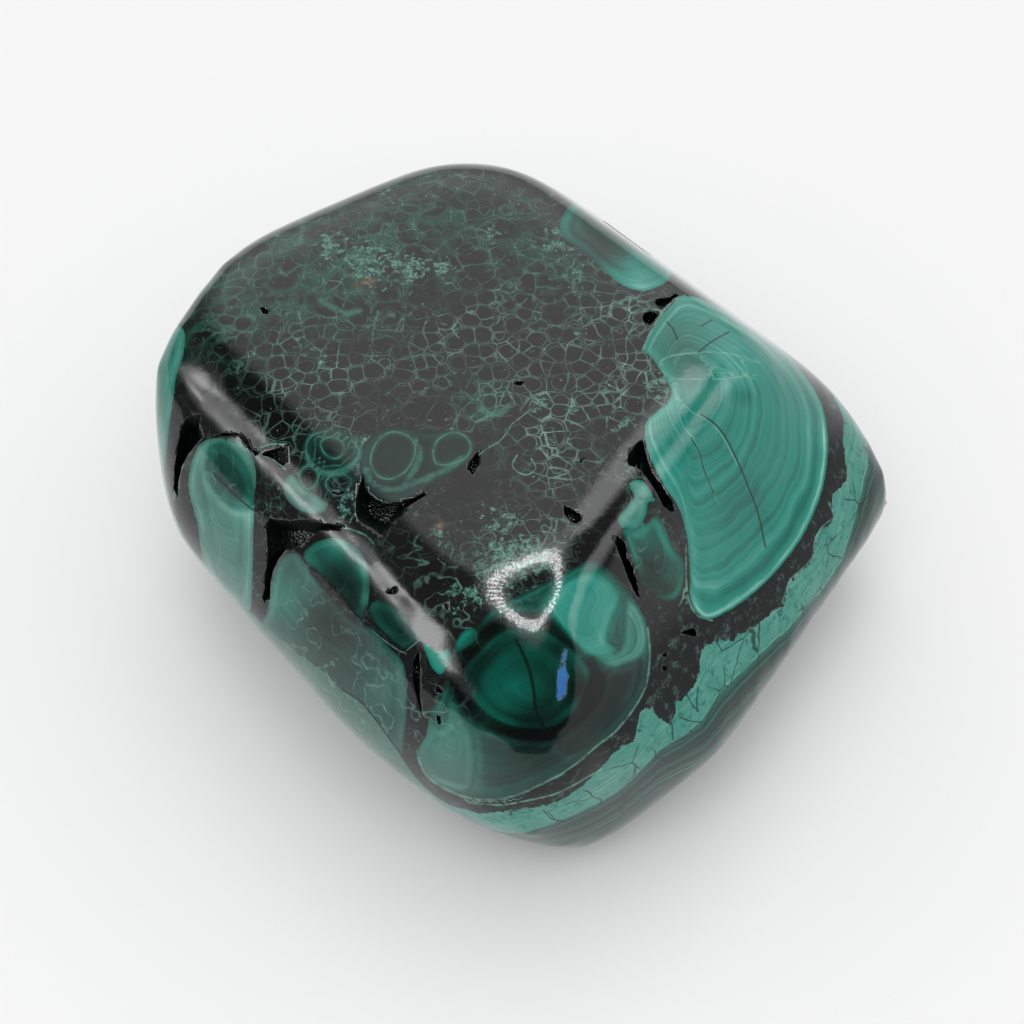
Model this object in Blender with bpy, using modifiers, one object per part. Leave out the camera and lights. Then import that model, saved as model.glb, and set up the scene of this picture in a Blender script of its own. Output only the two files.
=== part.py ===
"""Malachite specimen: one tumbled and polished piece of malachite that rests on its flat base.

Units are metres, +Z is up, and the stone stands on z = 0. The stone starts as a sawn block, its faces
are ground to the facets below, tumbling rounds every edge, and the clefts are then sunk into it.
"""
import math

import bmesh
import bpy
from mathutils import Matrix, Vector

MM = 0.001

# The sawn block, and the point above the base that the facets are measured from.
BLOCK_SIZE = 140 * MM
HEART = Vector((0, 0, 12.5 * MM))

# Ground facets: name, compass angle from +X, slope of the facet's normal above level (degrees),
# and distance from the heart to the facet (mm).
FACETS = (
    ("base", 0, -90, 12.9),
    ("top", 0, 90, 15.5),
    ("left_front", 220, 30, 23.2),
    ("left_front_waist", 219, 0, 23.1),
    ("left_front_foot", 218, -30, 18.9),
    ("nose_left", 243, 24, 26.4),
    ("nose_left_waist", 245, -4, 25.5),
    ("nose_left_foot", 246, -34, 23.1),
    ("nose_brow", 270, 50, 24.6),
    ("nose", 270, 12, 30.8),
    ("nose_foot", 270, -34, 29.2),
    ("nose_right", 298, 28, 27.0),
    ("nose_right_waist", 298, -4, 26.0),
    ("nose_right_foot", 298, -36, 26.1),
    ("right_front", 327, 30, 20.7),
    ("right_front_waist", 327, -4, 24.2),
    ("right_front_foot", 327, -38, 21.2),
    ("right_brow", 4, 40, 22.7),
    ("right", 0, 2, 30.1),
    ("right_foot", 0, -38, 27.0),
    ("back_right_brow", 44, 38, 20.0),
    ("back_right", 42, 2, 22.7),
    ("back_right_foot", 40, -36, 23.5),
    ("back_brow", 85, 38, 24.8),
    ("back", 85, 0, 27.6),
    ("back_foot", 85, -36, 23.5),
    ("back_left_brow", 122, 38, 25.0),
    ("back_left", 124, 2, 27.4),
    ("back_left_foot", 122, -36, 22.5),
    ("far_left", 156, 6, 25.4),
    ("left", 188, 0, 25.4),
    ("left_foot", 172, -36, 23.1),
)

# Tumbling: the block is resampled at this grain, then its corners wear down by repeated smoothing.
GRAIN = 1.2 * MM
WEAR_STEPS = 45
WEAR = 0.5
KEPT_TRIANGLES = 0.45  # share of the worn surface's triangles that the flat faces need

# Clefts are drawn on a board that stands square to a line of sight: (across, up) in mm from its centre.
# A view is (compass angle of the viewer from -Y, height of the viewer above level), in degrees.
AIM = Vector((0, 0, 10 * MM))
SIGHT_DISTANCE = 170.7 * MM
DISPLAY_VIEW = (0, 52)
REAR_VIEW = (180, 30)
LEFT_VIEW = (270, 20)
CLEFT_HEADROOM = 0.6 * MM  # how far a cutter stands out of the surface
CLEFT_TAPER = 0.6  # size of a cleft's floor against its mouth

# Each cleft: name, view, depth below the lowest point of its mouth (mm), outline of its mouth.
CLEFTS = (
    ("left_cleft", DISPLAY_VIEW, 1.6,
     ((-24.6, 7.6), (-23.2, 8.2), (-23.4, 7.0), (-23.0, 5.9), (-24.4, 4.3), (-25.0, 3.1), (-25.3, 0.6),
      (-25.6, 1.1), (-25.5, 3.1), (-25.1, 5.5))),
    ("ridge_hollow", DISPLAY_VIEW, 1.3,
     ((-19.1, 0.0), (-17.7, -0.1), (-14.6, -0.4), (-12.2, -0.7), (-12.0, -1.2), (-13.8, -1.2),
      (-15.0, -1.8), (-16.9, -2.9), (-18.1, -3.3), (-18.8, -2.7))),
    ("left_fissure", DISPLAY_VIEW, 1.4,
     ((-18.6, -3.3), (-17.7, -3.5), (-18.3, -5.1), (-18.4, -7.0), (-19.1, -7.5), (-19.3, -7.0),
      (-18.9, -4.7))),
    ("heart_hollow", DISPLAY_VIEW, 1.5,
     ((-11.5, 3.1), (-11.0, 1.6), (-9.6, 0.7), (-8.4, 0.8), (-6.1, 1.6), (-5.9, 1.3), (-7.9, 0.2),
      (-8.2, -0.4), (-9.4, -1.7), (-10.0, -2.0), (-10.9, -1.3), (-11.6, -0.8), (-12.1, 0.4),
      (-11.8, 1.8))),
    ("ridge_pit", DISPLAY_VIEW, 1.2, ((-19.0, 4.3), (-17.7, 5.0), (-16.9, 5.0), (-17.1, 3.3), (-18.0, 3.9))),
    ("heart_pit", DISPLAY_VIEW, 1.0, ((-2.5, 4.7), (-2.5, 3.5), (-3.0, 2.6), (-3.4, 3.1))),
    ("low_fissure", DISPLAY_VIEW, 1.2,
     ((-7.1, -10.0), (-7.6, -11.1), (-7.6, -12.8), (-7.1, -14.3), (-6.8, -14.1), (-6.9, -11.1))),
    ("shelf_pit", DISPLAY_VIEW, 1.4, ((3.8, 0.6), (4.8, 0.1), (5.4, -0.5), (5.0, -1.0), (4.0, -0.4))),
    ("right_cleft", DISPLAY_VIEW, 1.3,
     ((9.4, 5.8), (9.9, 5.8), (10.0, 4.8), (10.5, 3.1), (11.4, 1.9), (12.7, -0.1), (12.6, -0.7),
      (11.7, -0.1), (10.9, 1.3), (9.8, 3.1), (8.4, 3.8), (8.3, 4.6))),
    ("right_fissure", DISPLAY_VIEW, 1.4,
     ((7.7, -1.1), (8.5, -2.0), (8.7, -3.3), (9.3, -4.5), (9.9, -7.0), (9.2, -6.2), (8.5, -4.3),
      (7.4, -1.4))),
    ("seam_pit", DISPLAY_VIEW, 1.0, ((12.6, -9.1), (13.8, -8.6), (14.0, -9.4), (13.0, -9.4))),
    ("rim_pit", DISPLAY_VIEW, 1.2, ((9.8, 15.1), (10.9, 15.1), (11.1, 14.8), (10.3, 13.9), (9.8, 14.5))),
    ("rear_fissure", REAR_VIEW, 1.3,
     ((-12.0, 6.2), (-10.4, 4.4), (-9.0, 3.4), (-7.6, 1.0), (-7.9, -1.2), (-8.8, 0.2), (-10.2, 2.4),
      (-11.8, 4.4))),
    ("rear_hollow", REAR_VIEW, 1.2, ((4.2, 2.4), (6.6, 3.2), (8.8, 2.2), (9.4, 0.8), (7.2, 1.0), (5.2, 0.8))),
    ("rear_pit", REAR_VIEW, 1.0, ((14.2, -2.0), (15.4, -1.6), (16.0, -2.6), (14.8, -3.2))),
    ("side_fissure", LEFT_VIEW, 1.2,
     ((-6.4, 2.2), (-5.2, 1.0), (-4.6, -1.4), (-3.6, -3.8), (-4.4, -3.2), (-5.4, -1.2), (-6.4, 0.6))),
)

# Malachite as it looks from a step away: deep green, highly polished.
STONE_COLOUR = (0.030, 0.105, 0.085, 1.0)
STONE_ROUGHNESS = 0.12
STONE_IOR = 1.8


def clear_scene():
    """Remove whatever the file opened with."""
    for thing in list(bpy.data.objects):
        bpy.data.objects.remove(thing)


def new_collection(name):
    """A collection of this name, in the scene."""
    collection = bpy.data.collections.new(name)
    bpy.context.scene.collection.children.link(collection)
    return collection


def direction(compass, slope):
    """The unit vector at a compass angle from +X and a slope above level, in degrees."""
    turn, lift = math.radians(compass), math.radians(slope)
    return Vector((math.cos(lift) * math.cos(turn), math.cos(lift) * math.sin(turn), math.sin(lift)))


def cut_plane(bm, point, normal):
    """Cut away all that lies beyond a plane, and close the cut with a flat face."""
    whole = bm.verts[:] + bm.edges[:] + bm.faces[:]
    cut = bmesh.ops.bisect_plane(bm, geom=whole, plane_co=point, plane_no=normal, clear_outer=True)
    rim = [item for item in cut["geom_cut"] if isinstance(item, bmesh.types.BMEdge)]
    if rim:
        bmesh.ops.edgeloop_fill(bm, edges=rim)


def apply_modifiers(thing):
    """Apply every modifier of an object, in order."""
    bpy.context.view_layer.objects.active = thing
    for modifier in list(thing.modifiers):
        bpy.ops.object.modifier_apply(modifier=modifier.name)


def ground_block(collection):
    """The block with its facets ground flat, still with sharp edges."""
    bm = bmesh.new()
    bmesh.ops.create_cube(bm, size=BLOCK_SIZE)
    for _name, compass, slope, distance in FACETS:
        normal = direction(compass, slope)
        cut_plane(bm, HEART + normal * distance * MM, normal)
    mesh = bpy.data.meshes.new("malachite_stone")
    bm.to_mesh(mesh)
    bm.free()
    stone = bpy.data.objects.new("malachite_stone", mesh)
    collection.objects.link(stone)
    return stone


def tumble(stone):
    """Wear the edges round, thin out the triangles, and saw the base flat on z = 0."""
    resample = stone.modifiers.new("grain", "REMESH")
    resample.mode = "VOXEL"
    resample.voxel_size = GRAIN
    wear = stone.modifiers.new("wear", "SMOOTH")
    wear.factor = WEAR
    wear.iterations = WEAR_STEPS
    thin = stone.modifiers.new("thin", "DECIMATE")
    thin.ratio = KEPT_TRIANGLES
    apply_modifiers(stone)

    bm = bmesh.new()
    bm.from_mesh(stone.data)
    cut_plane(bm, Vector((0, 0, 0)), Vector((0, 0, -1)))
    bm.to_mesh(stone.data)
    bm.free()
    stone.data.update()


def centre_over_origin(stone):
    """Move the stone so that the middle of its box stands over the origin, and return the move."""
    corners = [Vector(corner) for corner in stone.bound_box]
    middle = (corners[0] + corners[6]) / 2
    move = Vector((-middle.x, -middle.y, 0))
    stone.data.transform(Matrix.Translation(move))
    return move


def sight_line(aim, view, across, up):
    """Where the viewer's eye is, and the direction from it through one point of the board."""
    turn, lift = math.radians(view[0]), math.radians(view[1])
    right = Vector((math.cos(turn), math.sin(turn), 0))
    back = Vector((math.sin(turn) * math.cos(lift), -math.cos(turn) * math.cos(lift), math.sin(lift)))
    eye = aim + back * SIGHT_DISTANCE
    point = aim + (right * across + back.cross(right) * up) * MM
    return eye, (point - eye).normalized()


def cleft_cutter(stone, collection, aim, cleft):
    """A cutter for one cleft, whose mouth is the outline seen on the stone and which narrows to its floor."""
    name, view, depth, outline = cleft
    hits = [stone.ray_cast(*sight_line(aim, view, across, up)) for across, up in outline]
    mouth = [place for found, place, _normal, _face in hits if found]
    centre = sum(mouth, Vector()) / len(mouth)
    inward = -sum((normal for found, _place, normal, _face in hits if found), Vector()).normalized()
    reach = [(place - centre).dot(inward) for place in mouth]
    start = min(reach) - CLEFT_HEADROOM
    travel = max(reach) + depth * MM - start

    bm = bmesh.new()
    ring = [bm.verts.new(place + inward * (start - away)) for place, away in zip(mouth, reach)]
    lid = bmesh.ops.contextual_create(bm, geom=ring)["faces"]
    floor = bmesh.ops.extrude_face_region(bm, geom=lid, use_keep_orig=True)["geom"]
    low = [item for item in floor if isinstance(item, bmesh.types.BMVert)]
    bmesh.ops.translate(bm, verts=low, vec=inward * travel)
    middle = sum((vert.co for vert in low), Vector()) / len(low)
    for vert in low:
        vert.co = middle + (vert.co - middle) * CLEFT_TAPER
    bmesh.ops.recalc_face_normals(bm, faces=bm.faces)
    mesh = bpy.data.meshes.new(name)
    bm.to_mesh(mesh)
    bm.free()

    cutter = bpy.data.objects.new(name, mesh)
    collection.objects.link(cutter)
    cutter.hide_render = True
    cutter.display_type = "WIRE"
    return cutter


def sink_clefts(stone, cutters, aim):
    """Subtract every cleft from the stone."""
    for cleft in CLEFTS:
        cutter = cleft_cutter(stone, cutters, aim, cleft)
        cut = stone.modifiers.new(cutter.name, "BOOLEAN")
        cut.operation = "DIFFERENCE"
        cut.solver = "EXACT"
        cut.object = cutter


def stone_material():
    """Polished malachite."""
    material = bpy.data.materials.new("polished_malachite")
    material.use_nodes = True
    surface = material.node_tree.nodes["Principled BSDF"]
    surface.inputs["Base Color"].default_value = STONE_COLOUR
    surface.inputs["Roughness"].default_value = STONE_ROUGHNESS
    surface.inputs["IOR"].default_value = STONE_IOR
    surface.inputs["Metallic"].default_value = 0.0
    return material


def main():
    clear_scene()
    specimen = new_collection("malachite_specimen")
    cutters = new_collection("cleft_cutters")
    cutters.hide_render = True
    stone = ground_block(specimen)
    tumble(stone)
    aim = AIM + centre_over_origin(stone)
    stone.data.shade_smooth()
    stone.data.materials.append(stone_material())
    sink_clefts(stone, cutters, aim)


main()
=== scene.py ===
# %% [markdown]
# # A polished malachite stone
# Malachite grows in crusts of little domes. Each dome is built from thin shells, pale and dark green by
# turns. Cut through many domes and polish the cut, and the shells show as rings, fans and nets of cells.
# The stone was ground to flats, tumbled until they ran together, and polished like glass. It is one solid,
# so it is one piece here, with a crust of crystals inside its open clefts.

# %% Load the fixed frame
import math

import bpy
import numpy as np
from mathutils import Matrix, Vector
from mathutils.bvhtree import BVHTree


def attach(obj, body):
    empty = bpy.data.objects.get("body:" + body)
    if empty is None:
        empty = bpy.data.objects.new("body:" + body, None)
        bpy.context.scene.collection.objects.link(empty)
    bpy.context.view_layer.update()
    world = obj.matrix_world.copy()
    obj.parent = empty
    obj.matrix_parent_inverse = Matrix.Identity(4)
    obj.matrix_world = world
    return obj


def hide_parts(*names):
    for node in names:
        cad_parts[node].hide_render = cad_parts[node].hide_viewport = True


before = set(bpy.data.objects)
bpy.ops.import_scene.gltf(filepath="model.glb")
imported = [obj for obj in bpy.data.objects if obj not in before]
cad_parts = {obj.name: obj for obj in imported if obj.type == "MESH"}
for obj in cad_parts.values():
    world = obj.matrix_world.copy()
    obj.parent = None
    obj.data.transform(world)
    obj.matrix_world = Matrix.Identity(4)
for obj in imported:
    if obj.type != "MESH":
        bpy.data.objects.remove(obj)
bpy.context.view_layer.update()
MM = 0.001

# %% [markdown]
# The stone is looked at from one side more than any other, so its clefts and growth lobes are laid out from
# there. A drawing board of 1024 by 1024 squares stands between the eye and the stone. What is drawn on the
# board is carried along the sight lines on to the stone, as a carver does with a paper template on a
# rounded block. One square covers 0.075 mm at the middle of the stone.

# %% The sight line and the drawing board
AIM = Vector((-1.28, 0.31, 10.0)) * MM
SIGHT_ELEVATION = math.radians(52)
SIGHT_DISTANCE = 170.7 * MM
LENS, SENSOR = 80.0, 36.0
BOARD = 1024

SIGHT_BACK = Vector((0, -math.cos(SIGHT_ELEVATION), math.sin(SIGHT_ELEVATION)))
SIGHT_UP = Vector((0, math.sin(SIGHT_ELEVATION), math.cos(SIGHT_ELEVATION)))
SIGHT_RIGHT = Vector((1, 0, 0))
EYE = AIM + SIGHT_BACK * SIGHT_DISTANCE
SPREAD = SENSOR / LENS / BOARD
SQUARE = SIGHT_DISTANCE * SPREAD


def sight(x, y):
    """The direction from the eye through a place on the board."""
    half = BOARD / 2
    return (SIGHT_RIGHT * (x - half) * SPREAD - SIGHT_UP * (y - half) * SPREAD - SIGHT_BACK).normalized()


def on_board(places):
    """Board places of an array of points in the frame."""
    offset = places - np.array(EYE)
    depth = offset @ -np.array(SIGHT_BACK)
    across = offset @ np.array(SIGHT_RIGHT) / depth / SPREAD
    up = offset @ np.array(SIGHT_UP) / depth / SPREAD
    return np.stack([BOARD / 2 + across, BOARD / 2 - up], axis=1)


print("one board square is", round(SQUARE / MM, 4), "mm")

# %% [markdown]
# The form starts as a block that is cut by flats, each named for its side, as on a grinding wheel. Then it
# is tumbled: a voxel remesh spreads even grains of surface, smoothing wears the edges, and a subdivision
# closes the skin. Ground flats give the long soft planes that a sculpted sphere would never have.

# %% Grind the block
HEART = Vector((0, 0, 12.5)) * MM
BLOCK_SIZE = 140 * MM
GRAIN = 1.34 * MM
WEAR, WEAR_STEPS = 0.5, 36
SKIN_LEVELS = 2
CENTRING = Vector((-1.284, 0.307, 0)) * MM

FACETS = (
    # side, turn from +X and slope of its normal in degrees, distance from the heart in mm
    ("top", 0, 90, 15.5),
    ("left_front", 220, 30, 23.2),
    ("left_front_waist", 219, 0, 23.1),
    ("left_front_foot", 218, -30, 18.9),
    ("nose_left", 243, 24, 26.4),
    ("nose_left_waist", 245, -4, 25.5),
    ("nose_left_foot", 246, -34, 23.1),
    ("nose_brow", 270, 50, 24.6),
    ("nose", 270, 12, 30.8),
    ("nose_foot", 270, -34, 29.2),
    ("nose_right", 298, 28, 27.0),
    ("nose_right_waist", 298, -4, 26.0),
    ("nose_right_foot", 298, -36, 26.1),
    ("right_front", 327, 30, 20.7),
    ("right_front_waist", 327, -4, 24.2),
    ("right_front_foot", 327, -38, 21.2),
    ("right_brow", 4, 40, 22.7),
    ("right", 0, 2, 30.1),
    ("right_foot", 0, -38, 27.0),
    ("back_right_brow", 44, 38, 20.0),
    ("back_right", 42, 2, 22.7),
    ("back_right_foot", 40, -36, 23.5),
    ("back_brow", 85, 38, 24.8),
    ("back", 85, 0, 27.6),
    ("back_foot", 85, -36, 23.5),
    ("back_left_brow", 122, 38, 25.0),
    ("back_left", 124, 2, 27.4),
    ("back_left_foot", 122, -36, 22.5),
    ("far_left", 156, 6, 25.4),
    ("left", 188, 0, 25.4),
    ("left_foot", 172, -36, 23.1),
    ("base", 0, -90, 12.9),
)


def apply_modifiers(piece):
    bpy.context.view_layer.objects.active = piece
    for modifier in list(piece.modifiers):
        bpy.ops.object.modifier_apply(modifier=modifier.name)


def bearing(turn, slope):
    """A direction from its turn about +Z and its slope above the table, in degrees."""
    turn, slope = math.radians(turn), math.radians(slope)
    return Vector((math.cos(slope) * math.cos(turn), math.cos(slope) * math.sin(turn), math.sin(slope)))


bpy.ops.object.select_all(action="DESELECT")
bpy.ops.mesh.primitive_cube_add(size=BLOCK_SIZE)
stone = bpy.context.object
stone.name = "polished_stone"
bpy.ops.object.mode_set(mode="EDIT")
for side, turn, slope, distance in FACETS:
    normal = bearing(turn, slope)
    bpy.ops.mesh.select_all(action="SELECT")
    flat = HEART + normal * distance * MM
    bpy.ops.mesh.bisect(plane_co=flat, plane_no=normal, use_fill=True, clear_outer=True)
bpy.ops.object.mode_set(mode="OBJECT")
print("ground flats:", len(stone.data.polygons))

# %% Tumble it and cut the base flat
remesh = stone.modifiers.new("even_grains", "REMESH")
remesh.mode = "VOXEL"
remesh.voxel_size = GRAIN
wear = stone.modifiers.new("wear", "SMOOTH")
wear.factor = WEAR
wear.iterations = WEAR_STEPS
skin = stone.modifiers.new("skin", "SUBSURF")
skin.levels = skin.render_levels = SKIN_LEVELS
apply_modifiers(stone)

# Where three flats meet on the right a nub is left; it is rubbed down on its own.
NUB, NUB_REACH, RUBS = Vector((28.4, 1.3, 9.5)) * MM, 1.6 * MM, 30
bpy.ops.object.mode_set(mode="EDIT")
bpy.ops.mesh.select_all(action="DESELECT")
bpy.ops.object.mode_set(mode="OBJECT")
for point in stone.data.vertices:
    point.select = (point.co - NUB).length < NUB_REACH
bpy.ops.object.mode_set(mode="EDIT")
bpy.ops.mesh.vertices_smooth(factor=WEAR, repeat=RUBS)
bpy.ops.mesh.select_all(action="SELECT")
bpy.ops.mesh.bisect(plane_co=(0, 0, 0), plane_no=(0, 0, -1), use_fill=True, clear_outer=True,
                    threshold=1e-7)
bpy.ops.mesh.select_all(action="SELECT")
bpy.ops.transform.translate(value=CENTRING)
bpy.ops.object.mode_set(mode="OBJECT")
bpy.ops.object.shade_smooth()
print("tumbled stone:", len(stone.data.polygons), "faces")

# %% [markdown]
# Where domes never met, open clefts and hollows stay, black inside and crusted with fine crystals. Each is
# drawn as an outline on the board and sunk along the sight line. A cutter is a flat outline, extruded and
# narrowed, and a Boolean takes it out of the stone. Sinking vertices of the skin would give soft dents; the
# cut keeps a sharp lip.

# %% Cleft outlines
CLEFTS = {
    # name: (depth in mm, narrowing towards the bottom, outline on the board)
    "left_cleft": (3.2, 0.45, [
        (184, 410), (190, 405), (203, 402), (200, 418), (205, 433), (196, 443), (187, 455), (179, 470),
        (175, 488), (174, 508), (169, 499), (170, 475), (173, 452), (176, 435), (179, 420)]),
    "lobe_slit": (1.2, 0.6, [
        (205, 434), (220, 431), (234, 430), (241, 433), (248, 440), (254, 451), (262, 455), (257, 458),
        (249, 449), (242, 440), (235, 434), (220, 434)]),
    "triangle_pit": (1.8, 0.6, [
        (258, 454), (268, 449), (278, 446), (286, 446), (287, 455), (285, 465), (281, 467), (273, 460),
        (265, 457)]),
    "left_fissure": (3.6, 0.5, [
        (262, 512), (259, 525), (261, 545), (263, 556), (260, 575), (259, 595), (255, 607), (257, 612),
        (266, 607), (266, 592), (269, 575), (275, 562), (283, 551), (290, 549), (300, 546), (308, 540),
        (315, 533), (322, 528), (330, 527), (345, 528), (353, 521), (345, 521), (330, 519), (317, 517),
        (305, 514), (290, 516), (276, 515)]),
    "heart_hollow": (3.0, 0.55, [
        (359, 471), (362, 484), (366, 492), (374, 498), (384, 503), (400, 502), (416, 497), (430, 490),
        (433, 493), (421, 500), (407, 509), (404, 516), (392, 525), (386, 535), (380, 539), (370, 532),
        (361, 528), (353, 522), (350, 510), (351, 500), (354, 488)]),
    "ring_slit": (0.7, 0.7, [
        (329, 490), (337, 493), (347, 489), (347, 492), (337, 496), (330, 494)]),
    "ridge_pit": (1.6, 0.6, [
        (478, 449), (480, 455), (479, 465), (474, 472), (472, 477), (469, 473), (466, 470), (468, 462),
        (472, 456)]),
    "arrow_pit": (0.8, 0.7, [
        (384, 593), (390, 590), (393, 587), (398, 586), (397, 590), (395, 594), (385, 595)]),
    "ridge_slot": (0.8, 0.7, [
        (444, 604), (446, 604), (448, 611), (446, 612)]),
    "low_fissure": (2.2, 0.5, [
        (418, 642), (414, 652), (411, 660), (411, 672), (412, 684), (414, 695), (417, 703), (419, 712),
        (421, 724), (423, 724), (421, 708), (420, 698), (420, 685), (420, 660), (419, 652)]),
    "low_pit": (0.7, 0.7, [
        (434, 688), (438, 686), (443, 692), (441, 695), (436, 693)]),
    "lower_pit": (0.7, 0.7, [
        (435, 714), (441, 717), (441, 725), (438, 727), (436, 720)]),
    "shelf_pit": (2.0, 0.6, [
        (563, 504), (570, 507), (576, 511), (581, 514), (584, 519), (582, 522), (577, 525), (571, 523),
        (566, 518), (563, 514)]),
    "right_cleft": (3.0, 0.5, [
        (637, 434), (642, 433), (645, 446), (647, 455), (653, 472), (659, 480), (664, 486), (670, 496),
        (676, 504), (680, 512), (681, 520), (676, 520), (668, 513), (662, 503), (658, 494), (653, 486),
        (647, 478), (641, 470), (636, 466), (625, 462), (622, 456), (625, 448), (630, 441)]),
    "right_fissure": (2.6, 0.5, [
        (615, 526), (619, 531), (625, 538), (627, 548), (627, 556), (632, 562), (635, 572), (638, 582),
        (641, 592), (643, 603), (644, 608), (640, 604), (635, 595), (629, 582), (625, 570), (620, 556),
        (616, 546), (612, 535)]),
    "seam_pit": (1.6, 0.6, [
        (679, 634), (684, 631), (690, 629), (696, 627), (698, 632), (699, 638), (692, 638), (686, 636)]),
    "rim_pit": (1.8, 0.6, [
        (643, 311), (650, 309), (657, 311), (660, 315), (656, 321), (650, 326), (645, 323), (642, 317)]),
    "rim_cleft": (1.4, 0.6, [
        (657, 308), (662, 311), (668, 304), (676, 298), (683, 293), (680, 290), (672, 295), (664, 296),
        (655, 297), (652, 302)]),
    "top_pit": (0.6, 0.7, [
        (512, 384), (516, 381), (523, 380), (526, 382), (522, 385), (515, 385)]),
    "small_pit": (0.8, 0.7, [
        (257, 306), (262, 305), (268, 309), (267, 314), (261, 313)]),
    "speck_pit": (0.5, 0.7, [
        (579, 461), (582, 457), (584, 459), (581, 464)]),
    "seam_hole": (0.7, 0.7, [
        (662, 655), (667, 653), (668, 657), (664, 660)]),
    "seam_hole_low": (0.7, 0.7, [
        (662, 667), (667, 666), (668, 671), (664, 673)]),
}
# On the sides that the board can't see, clefts are drawn in mm across and up from the aim.
HIDDEN_CLEFTS = {
    # name: (turn and slope of the sight line in degrees, depth in mm, narrowing, outline)
    "rear_fissure": (90, 30, 2.4, 0.5, [
        (-12.0, 6.2), (-10.4, 4.4), (-9.0, 3.4), (-7.6, 1.0), (-7.9, -1.2), (-8.8, 0.2), (-10.2, 2.4),
        (-11.8, 4.4)]),
    "rear_hollow": (90, 30, 2.2, 0.55, [
        (4.2, 2.4), (6.6, 3.2), (8.8, 2.2), (9.4, 0.8), (7.2, 1.0), (5.2, 0.8)]),
    "rear_pit": (90, 30, 1.8, 0.6, [
        (14.2, -2.0), (15.4, -1.6), (16.0, -2.6), (14.8, -3.2)]),
    "side_fissure": (180, 20, 2.2, 0.5, [
        (-6.4, 2.2), (-5.2, 1.0), (-4.6, -1.4), (-3.6, -3.8), (-4.4, -3.2), (-5.4, -1.2), (-6.4, 0.6)]),
}
print("clefts drawn:", len(CLEFTS) + len(HIDDEN_CLEFTS))

# %% Cut the clefts
HEADROOM = 0.8 * MM
LIP_WANDER = 0.10 * MM
GRIT = 0.5 * MM
STEEPEST_LID = 0.45  # a lid that leans further from the sight line than this is turned back towards it


def sight_aside(back, across, up):
    """The direction from an eye on a hidden side through a place in mm across and up from the aim."""
    right = Vector((-back.y, back.x, 0)).normalized()
    return ((right * across + back.cross(right) * up) * MM - back * SIGHT_DISTANCE).normalized()


def cutter_from_outline(name, eye, back, lines, depth, narrowing, tree):
    """A tapered plug along the sight lines: it stands clear of the skin and ends `depth` under it."""
    hits = []
    for line in lines:
        hit = tree.ray_cast(eye, line)[0]
        if hit is None:
            hit = hits[-1]
        hits.append(hit)
    middle = sum(hits, Vector()) / len(hits)
    spans = np.array([hit - middle for hit in hits])
    lean = Vector(np.linalg.svd(spans)[2][2])
    if lean.dot(back) < 0:
        lean = -lean
    if lean.dot(back) < STEEPEST_LID:
        lean = (lean + back).normalized()
    bulge = max((hit - middle).dot(lean) for hit in hits)
    lid = middle + lean * (bulge + HEADROOM)
    bpy.ops.mesh.primitive_circle_add(vertices=len(lines), fill_type="NGON")
    plug = bpy.context.object
    plug.name = name
    for corner, line in zip(plug.data.vertices, lines):
        corner.co = eye + line * ((lid - eye).dot(lean) / line.dot(lean)) - plug.location
    run = -back * (bulge + HEADROOM + depth * MM)
    bpy.ops.object.mode_set(mode="EDIT")
    bpy.ops.mesh.select_all(action="SELECT")
    bpy.ops.mesh.extrude_region_move(TRANSFORM_OT_translate={"value": run})
    bpy.ops.transform.resize(value=(narrowing,) * 3, center_override=middle - back * depth * MM)
    bpy.ops.mesh.select_all(action="SELECT")
    bpy.ops.mesh.normals_make_consistent(inside=False)
    bpy.ops.object.mode_set(mode="OBJECT")
    return plug


depsgraph = bpy.context.evaluated_depsgraph_get()
skin_tree = BVHTree.FromObject(stone, depsgraph)
plugs = []
for name, (depth, narrowing, outline) in CLEFTS.items():
    bpy.ops.object.select_all(action="DESELECT")
    lines = [sight(x, y) for x, y in outline]
    plugs.append(cutter_from_outline(name, EYE, SIGHT_BACK, lines, depth, narrowing, skin_tree))
for name, (turn, slope, depth, narrowing, outline) in HIDDEN_CLEFTS.items():
    bpy.ops.object.select_all(action="DESELECT")
    back = bearing(turn, slope)
    lines = [sight_aside(back, across, up) for across, up in outline]
    eye = AIM + back * SIGHT_DISTANCE
    plugs.append(cutter_from_outline(name, eye, back, lines, depth, narrowing, skin_tree))
print("plugs made:", len(plugs))

# %% Roughen the plugs and take them out of the stone
LINING = bpy.data.materials.new("crystal_crusted_cleft")
POLISH = bpy.data.materials.new("tumble_polished_malachite")
# These touch other plugs, so they are taken out in a second go.
CUT_LATER = ("lobe_slit", "heart_hollow", "rim_cleft")
grit = bpy.data.textures.new("cleft_grit", "CLOUDS")
grit.noise_scale = GRIT
stone.data.materials.append(POLISH)


def cut_out(batch):
    """Join plugs that don't touch each other, roughen them, and take them out of the stone in one cut."""
    bpy.ops.object.select_all(action="DESELECT")
    for plug in batch:
        plug.select_set(True)
    joined = batch[0]
    bpy.context.view_layer.objects.active = joined
    bpy.ops.object.join()
    bpy.ops.object.mode_set(mode="EDIT")
    bpy.ops.mesh.select_all(action="SELECT")
    bpy.ops.mesh.subdivide(number_cuts=1)
    bpy.ops.mesh.quads_convert_to_tris()
    bpy.ops.object.mode_set(mode="OBJECT")
    wander = joined.modifiers.new("wander", "DISPLACE")
    wander.texture = grit
    wander.texture_coords = "GLOBAL"
    wander.strength = 2 * LIP_WANDER
    apply_modifiers(joined)
    joined.data.materials.append(LINING)
    cut = stone.modifiers.new("clefts", "BOOLEAN")
    cut.operation = "DIFFERENCE"
    cut.solver = "MANIFOLD"
    cut.object = joined
    cut.material_mode = "TRANSFER"
    apply_modifiers(stone)
    bpy.data.objects.remove(joined)


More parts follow.
